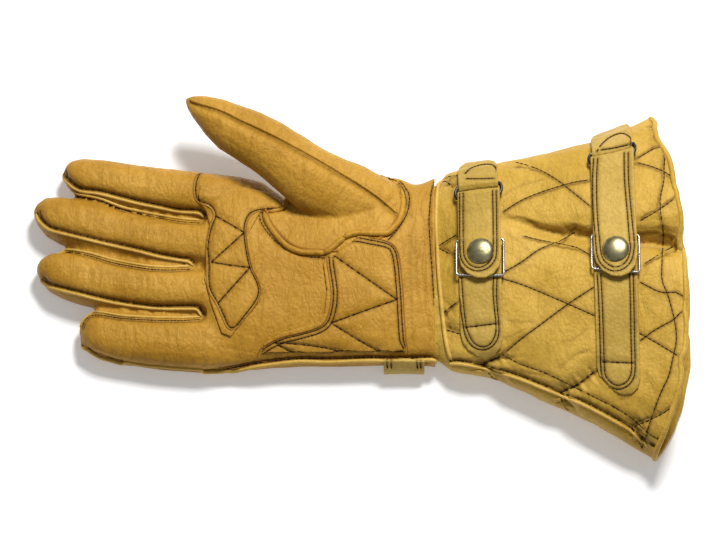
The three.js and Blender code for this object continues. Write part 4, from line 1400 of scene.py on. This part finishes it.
CUFF_FOLDS = (
    Line(Run.FOLD, ((503, 212), (512, 216), (522, 219), (532, 224.5), (541, 230), (556, 232),
        (574, 233), (590, 234))),
    Line(Run.FOLD, ((640, 235), (650, 234.5), (663, 235), (674, 239))),
    Line(Run.CREASE, ((450, 172), (452, 182), (450, 200))),
    Line(Run.CREASE, ((502, 196), (520, 186), (545, 178))),
    Line(Run.CREASE, ((504, 232), (518, 240), (528, 250))),
    Line(Run.CREASE, ((446, 268), (452, 280), (454, 292))),
    Line(Run.CREASE, ((503, 318), (515, 322), (530, 322))),
    Line(Run.CREASE, ((502, 338), (512, 336), (524, 330))),
    Line(Run.CREASE, ((585, 330), (575, 338), (562, 342))),
    Line(Run.CREASE, ((588, 350), (574, 356), (560, 368))),
    Line(Run.CREASE, ((641, 300), (650, 308), (655, 318))),
    Line(Run.CREASE, ((640, 370), (650, 378), (655, 392))),
    Line(Run.CREASE, ((520, 372), (545, 376), (565, 384))),
    Line(Run.WRINKLE, ((530, 260), (545, 272), (566, 280))),
    Line(Run.WRINKLE, ((600, 400), (612, 402), (628, 398))),
    Line(Run.WRINKLE, ((560, 160), (570, 164), (580, 164))),
)
CUFF_ROWS = (
    Line(Run.HEM, ((653, 117), (658, 128), (660, 138), (663, 147), (665, 155), (664, 168), (664, 180),
        (662, 190), (660, 200), (661, 215), (663, 228), (663, 244), (662, 260), (662, 280),
            (667, 293), (672, 310), (676, 330), (676, 343), (673, 357), (669, 375), (662, 390),
                (656, 405), (648, 428), (645, 440), (641, 450))),
    Line(Run.TOPSTITCH, ((493, 351), (503, 355), (520, 364), (540, 371), (560, 380), (580, 390),
        (600, 400), (610, 405), (630, 417), (645, 430), (655, 438), (661, 439))),
    Line(Run.TOPSTITCH, ((444, 177.5), (452, 176), (460, 175))),
)
CUFF_SIDE_SEAM = Line(
    Run.SIDE_SEAM,
    ((449, 361), (460, 361), (480, 364.5), (500, 370), (520, 376), (540, 384), (560, 392), (580, 400),
     (600, 410), (620, 421), (632, 428), (645, 440), (654, 447)),
    -3.2,
)
BACK_ROWS = (
    Line(Run.QUILT, ((440, 200), (500, 260), (560, 320), (620, 380), (650, 410)), 0.0, (Face.BACK,)),
    Line(Run.QUILT, ((450, 300), (500, 350), (530, 380)), 0.0, (Face.BACK,)),
    Line(Run.QUILT, ((500, 165), (560, 225), (620, 285), (680, 345)), 0.0, (Face.BACK,)),
    Line(Run.QUILT, ((590, 145), (640, 195), (684, 240)), 0.0, (Face.BACK,)),
    Line(Run.QUILT, ((440, 262), (500, 202), (555, 150)), 0.0, (Face.BACK,)),
    Line(Run.QUILT, ((450, 350), (520, 280), (600, 200), (665, 135)), 0.0, (Face.BACK,)),
    Line(Run.QUILT, ((530, 380), (600, 310), (680, 230)), 0.0, (Face.BACK,)),
    Line(Run.QUILT, ((610, 410), (650, 370), (688, 332)), 0.0, (Face.BACK,)),
    Line(Run.HEM, ((653, 120), (662, 150), (668, 200), (672, 260), (676, 320), (670, 370), (655, 410),
        (645, 438)), 0.0, (Face.BACK,)),
)


@dataclass
class Cuff:
    """The gauntlet: its quilted shell with the lining that shows in its mouth."""

    nodes: dict[str, bpy.types.Object]
    voxel: float = 1.1
    closing: float = 0.8
    rounds: int = 30
    side_lip_radius: float = 0.8
    wrist_lip_sink: float = 0.45
    hidden_reach: float = 0.25
    lining_gap: float = 5.5
    rim_radius: float = 1.5
    rim_blend: int = 5
    quilting_fill: float = 0.3
    wrist_lip_radius: float = 1.2
    mouth_facing: float = 0.6
    mouth_from: float = 0.1
    mouth_turn: int = 8

    def build(self) -> BVHTree:
        """Build, sew and dress the gauntlet.

        Returns:
            Its surface, for the straps to lie on.
        """
        shell = Skin(self.nodes, "cuff_shell", self.voxel, self.rounds, self.closing)
        for wave, height, seed in CUFF_ROLLS:
            shell.roll(wave, height, seed, sleeve=True)
        lines = [*QUILTING, *CUFF_FOLDS, *CUFF_ROWS, CUFF_SIDE_SEAM, WRIST_EDGE, *BACK_ROWS]
        shell.carve(lines)
        tree = shell.tree()
        thread = Thread("cuff_stitching")
        for line in lines:
            thread.sew(tree, line)
        LOG.info("%s: %d stitches", thread.name, thread.count)
        thread.dress(Finish.THREAD.material())
        lips = Welt("cuff_edges")
        lips.lay(tree, CUFF_SIDE_SEAM.beside(CUFF_SIDE_SEAM.lip), self.side_lip_radius)
        lips.lay(tree, WRIST_LIP, self.wrist_lip_radius, self.wrist_lip_sink)
        # The lips' paler finish is a painted highlight.
        lips.dress(Finish.LIP.material(), "cuff_leather")
        rim = Welt("cuff_rim")
        rim.sweep(self._seated(self._rim(), tree), self.rim_radius * MM, closed=True)
        rim.dress(Finish.CUFF.material(), "cuff_leather")
        piece = shell.dress(Finish.CUFF.material(), "cuff_leather")
        self._line(piece, tree)
        return tree

    def _rim(self) -> np.ndarray:
        """Return the middle of the wall round the sleeve's mouth, as a closed run of points."""
        bm = bmesh.new()
        bm.from_mesh(self.nodes["cuff_shell"].data)
        bmesh.ops.remove_doubles(bm, verts=bm.verts, dist=WELD)
        bm.normal_update()
        mouth = {
            f
            for f in bm.faces
            if f.normal.x > self.mouth_facing and f.calc_center_median().x > self.mouth_from
        }
        border = {e for f in mouth for e in f.edges if len(mouth.intersection(e.link_faces)) == 1}
        edge = max(border, key=lambda e: max(v.co.x for v in e.verts))
        loop = list(edge.verts)
        while edge is not None:
            border.discard(edge)
            edge = next((e for e in loop[-1].link_edges if e in border), None)
            if edge is not None:
                loop.append(edge.other_vert(loop[-1]))
        run = even(np.array([v.co for v in loop]))
        bm.free()
        index = np.arange(len(run))
        apart = np.abs(index[:, None] - index[None])
        gaps = np.linalg.norm(run[:, None] - run[None], axis=2)
        gaps[np.minimum(apart, len(run) - apart) < self.mouth_turn] = np.inf
        other = run[gaps.argmin(1)]
        centre = run.mean(0)
        outside = np.linalg.norm(run - centre, axis=1) > np.linalg.norm(other - centre, axis=1)
        middle = (run[outside] + other[outside]) / 2
        return even(np.vstack([middle, middle[:1]]))

    def _seated(self, path: np.ndarray, tree: BVHTree) -> np.ndarray:
        """Move a closed run of points onto the leather.

        Args:
            path: The points, the last one the same as the first.
            tree: The leather.

        Returns:
            The moved points, evenly spaced.
        """
        seats = np.array([tree.find_nearest(Vector(point))[0] for point in path])
        blend = np.ones(self.rim_blend) / self.rim_blend
        round_twice = np.vstack([seats[:-1]] * 3)
        soft = np.stack([np.convolve(round_twice[:, a], blend, mode="same") for a in range(3)], axis=1)
        soft = soft[len(seats) - 1 : 2 * (len(seats) - 1)]
        return even(np.vstack([soft, soft[:1]]))

    def _line(self, piece: bpy.types.Object, tree: BVHTree) -> None:
        """Give the faces that look into the sleeve the lining's finish.

        Args:
            piece: The gauntlet.
            tree: Its surface.
        """
        piece.data.materials.append(Finish.LINING.material())
        for polygon in piece.data.polygons:
            start = polygon.center + polygon.normal * 0.1 * MM
            _, _, _, gap = tree.ray_cast(start, polygon.normal, self.hidden_reach)
            polygon.material_index = int(gap is not None and gap > self.lining_gap * MM)


WRIST_STITCHES = (
    Line(Run.EDGE, ((459.5, 192), (459.5, 220), (460, 252), (462.5, 262), (469, 268.5), (478, 271),
        (487, 268.5), (493.5, 262), (496.5, 252), (496.5, 220), (496, 190))),
    Line(Run.EDGE, ((463, 192), (463, 220), (463.5, 252), (466, 260), (471, 265.5), (478, 267.5),
        (485, 265.5), (490.5, 260), (493, 252), (493, 220), (492.5, 190))),
    Line(Run.EDGE, ((458, 277), (459, 292), (460, 305), (463, 325), (466, 338), (473, 347),
        (482, 350), (490, 348), (497, 340), (499, 328), (497, 305), (496.5, 292), (497, 277))),
    Line(Run.EDGE, ((461.5, 277), (462.5, 292), (463.5, 305), (466, 325), (470, 337), (475, 344),
        (482, 347), (489, 345), (494, 338), (496, 328), (494, 305), (493, 292), (493.5, 277))),
    Line(Run.ZIGZAG, ((465, 327.5), (481, 325.5), (497, 323.5))),
)
WRIST_TAB_STITCHES = (
    Line(Run.EDGE, ((464, 178), (465, 174), (470, 168.5), (480, 165), (489, 164), (494, 165.5),
        (496, 169), (495.5, 177))),
    Line(Run.EDGE, ((466, 178.5), (480, 178.5), (494, 178))),
)
CUFF_STITCHES = (
    Line(Run.EDGE, ((593.5, 158), (592.5, 180), (593, 210), (595.5, 240), (597, 255), (601, 264),
        (608, 269.5), (616, 271), (625, 268), (631.5, 260), (634, 248), (634, 240), (631, 210),
            (628.5, 180), (628, 152))),
    Line(Run.EDGE, ((597.5, 158), (596.5, 180), (597, 210), (599.5, 240), (601, 253), (604, 260.5),
        (610, 265.5), (616, 267), (623, 264.5), (628, 258), (630.5, 248), (629.5, 240), (627, 210),
            (624.5, 180), (624, 152))),
    Line(Run.EDGE, ((597, 274), (598, 288), (599, 310), (600, 340), (601, 372), (604, 381),
        (610, 387), (618, 389.5), (626, 387), (632, 381), (635, 370), (634.5, 340), (634, 310),
            (633.5, 290), (633, 272))),
    Line(Run.EDGE, ((600.5, 274), (601.5, 288), (602.5, 310), (603.5, 340), (604.5, 371),
        (607, 378.5), (612, 383.5), (618, 385.5), (624.5, 383.5), (629, 378.5), (631.5, 369),
            (631, 340), (630.5, 310), (630, 290), (629.5, 272))),
    Line(Run.ZIGZAG, ((602, 362), (618, 362.5), (634, 363))),
)
CUFF_TAB_STITCHES = (
    Line(Run.EDGE, ((597, 152), (600, 146), (607, 139), (615, 134.5), (622, 133), (628, 135.5),
        (631, 139), (630, 146))),
    Line(Run.EDGE, ((601, 150), (614, 148), (628, 145))),
)


# Where along Y each strap starts to sink onto the cuff and where it lies flat, in millimetres.
WRIST_END = (-4.0, -26.0)
CUFF_END = (-14.0, -42.0)


@dataclass
class Fastening:
    """One closed fastening: a folded strap on its ring and tab, with its slide and its snap."""

    nodes: dict[str, bpy.types.Object]
    cuff: BVHTree
    name: str
    sewn_end: tuple[float, float]
    rows: tuple[Line, ...]
    tab_rows: tuple[Line, ...]
    snap_seat: tuple[float, float]
    strap_voxel: float = 0.45
    strap_rounds: int = 30
    tab_rounds: int = 7
    wire_voxel: float = 0.22
    ring_rounds: int = 14
    slide_rounds: int = 12
    cap_radius: float = 7.0
    cap_profile: tuple[tuple[float, float], ...] = (
        (1.0, 0.0), (1.02, 0.2), (1.0, 0.5), (0.96, 0.85), (0.88, 1.25),
        (0.76, 1.65), (0.6, 2.0), (0.42, 2.28), (0.22, 2.46), (0.08, 2.53), (0.0, 2.54),
    )

    def build(self) -> None:
        """Build and dress every piece of the fastening."""
        strap = Skin(self.nodes, f"{self.name}_strap", self.strap_voxel, self.strap_rounds)
        strap.drape(self.cuff, self.sewn_end)
        strap.carve(list(self.rows))
        tab = Skin(self.nodes, f"{self.name}_ring_tab", self.strap_voxel, self.tab_rounds)
        tab.carve(list(self.tab_rows))
        thread = Thread(f"{self.name}_strap_stitching")
        for skin, lines in ((strap, self.rows), (tab, self.tab_rows)):
            tree = skin.tree()
            for line in lines:
                thread.sew(tree, line)
        LOG.info("%s: %d stitches", thread.name, thread.count)
        thread.dress(Finish.THREAD.material())
        self._snap(strap.tree())
        strap.dress(Finish.STRAP.material(), "strap_leather")
        tab.dress(Finish.STRAP.material(), "strap_leather")
        ring = Skin(self.nodes, f"{self.name}_ring", self.wire_voxel, self.ring_rounds)
        ring.dress(Finish.GUNMETAL.material(), "ring_metal")
        slide = Skin(self.nodes, f"{self.name}_slide", self.wire_voxel, self.slide_rounds)
        slide.dress(Finish.NICKEL.material(), "slide_metal")

    def _snap(self, tree: BVHTree) -> None:
        """Spin the snap's cap and seat it on the strap.

        Args:
            tree: The strap.
        """
        places, normals = VIEW.land(tree, np.array([self.snap_seat]))
        low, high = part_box(f"{self.name}_snap")
        seat = (low + high) / 2
        up = Vector(normals[0]).normalized()
        seat -= up * (seat - Vector(places[0])).dot(up)
        bm = bmesh.new()
        rim = [bm.verts.new((r * self.cap_radius * MM, 0, h * MM)) for r, h in self.cap_profile]
        start = bm.verts.new((rim[0].co.x * 0.96, 0, -0.3 * MM))
        run = [start, *rim]
        edges = [bm.edges.new(pair) for pair in zip(run, run[1:])]
        bmesh.ops.spin(
            bm, geom=run + edges, axis=(0, 0, 1), cent=(0, 0, 0), angle=math.tau, steps=64, use_merge=True
        )
        bmesh.ops.remove_doubles(bm, verts=bm.verts, dist=WELD)
        bmesh.ops.holes_fill(bm, edges=[e for e in bm.edges if e.is_boundary])
        bmesh.ops.recalc_face_normals(bm, faces=bm.faces)
        turn = up.to_track_quat("Z", "Y").to_matrix().to_4x4()
        bmesh.ops.transform(bm, matrix=Matrix.Translation(seat) @ turn, verts=bm.verts)
        cap = finished(bm, f"{self.name}_snap_cap", Finish.SNAP.material())
        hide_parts(f"{self.name}_snap")


@dataclass
class Studio:
    """A pale floor, a soft key light from the top of the picture, and the camera."""

    floor_size: float = 6.0
    floor_tone: Colour = (0.86, 0.86, 0.86)
    key_place: tuple[float, float, float] = (0.24, 0.6, 1.03)
    key_watts: float = 20.0
    key_size: float = 0.34
    fill_place: tuple[float, float, float] = (0.5, -0.9, 1.1)
    fill_watts: float = 1.2
    fill_size: float = 1.2
    sky: float = 0.22
    floor_glow: float = 0.24

    def build(self) -> None:
        """Build the studio."""
        bm = bmesh.new()
        bmesh.ops.create_grid(bm, x_segments=1, y_segments=1, size=self.floor_size / 2)
        mesh = bpy.data.meshes.new("floor")
        bm.to_mesh(mesh)
        bm.free()
        material, board, shader = fresh_material("floor_paper")
        place = board.add("ShaderNodeTexCoord").outputs["Object"]
        tone = board.mix(board.noise(place, 6.0, 2.0, 0.5), self.floor_tone, (0.88, 0.88, 0.88))
        board.link(tone, shader.inputs["Base Color"])
        shader.inputs["Roughness"].default_value = 0.9
        shader.inputs["Emission Color"].default_value = (1.0, 1.0, 1.0, 1.0)
        shader.inputs["Emission Strength"].default_value = self.floor_glow
        mesh.materials.append(material)
        floor = bpy.data.objects.new("floor", mesh)
        bpy.context.collection.objects.link(floor)
        self._light("key", self.key_place, self.key_watts, self.key_size)
        self._light("fill", self.fill_place, self.fill_watts, self.fill_size)
        world = bpy.data.worlds.new("studio")
        world.use_nodes = True
        sky = world.node_tree.nodes["Background"]
        sky.inputs["Color"].default_value = (1.0, 1.0, 1.0, 1.0)
        sky.inputs["Strength"].default_value = self.sky
        bpy.context.scene.world = world
        bpy.context.scene.view_settings.view_transform = "Standard"
        VIEW.camera()

    def _light(self, name: str, place: tuple[float, float, float], watts: float, size: float) -> None:
        """Hang a soft light that faces the glove.

        Args:
            name: Its name.
            place: Where it hangs.
            watts: Its power.
            size: Its width.
        """
        data = bpy.data.lights.new(name, "AREA")
        data.energy = watts
        data.size = size
        light = bpy.data.objects.new(name, data)
        light.location = place
        light.rotation_mode = "QUATERNION"
        light.rotation_quaternion = (-Vector(place)).to_track_quat("-Z", "Y")
        bpy.context.collection.objects.link(light)


def main() -> None:
    """Build the glove and its studio."""
    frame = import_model()
    nodes = frame["nodes"]
    Studio().build()
    Hand(nodes).build()
    cuff = Cuff(nodes).build()
    Fastening(nodes, cuff, "wrist", WRIST_END, WRIST_STITCHES, WRIST_TAB_STITCHES, (478, 250)).build()
    Fastening(nodes, cuff, "cuff", CUFF_END, CUFF_STITCHES, CUFF_TAB_STITCHES, (614, 250)).build()


if __name__ == "__main__":
    main()
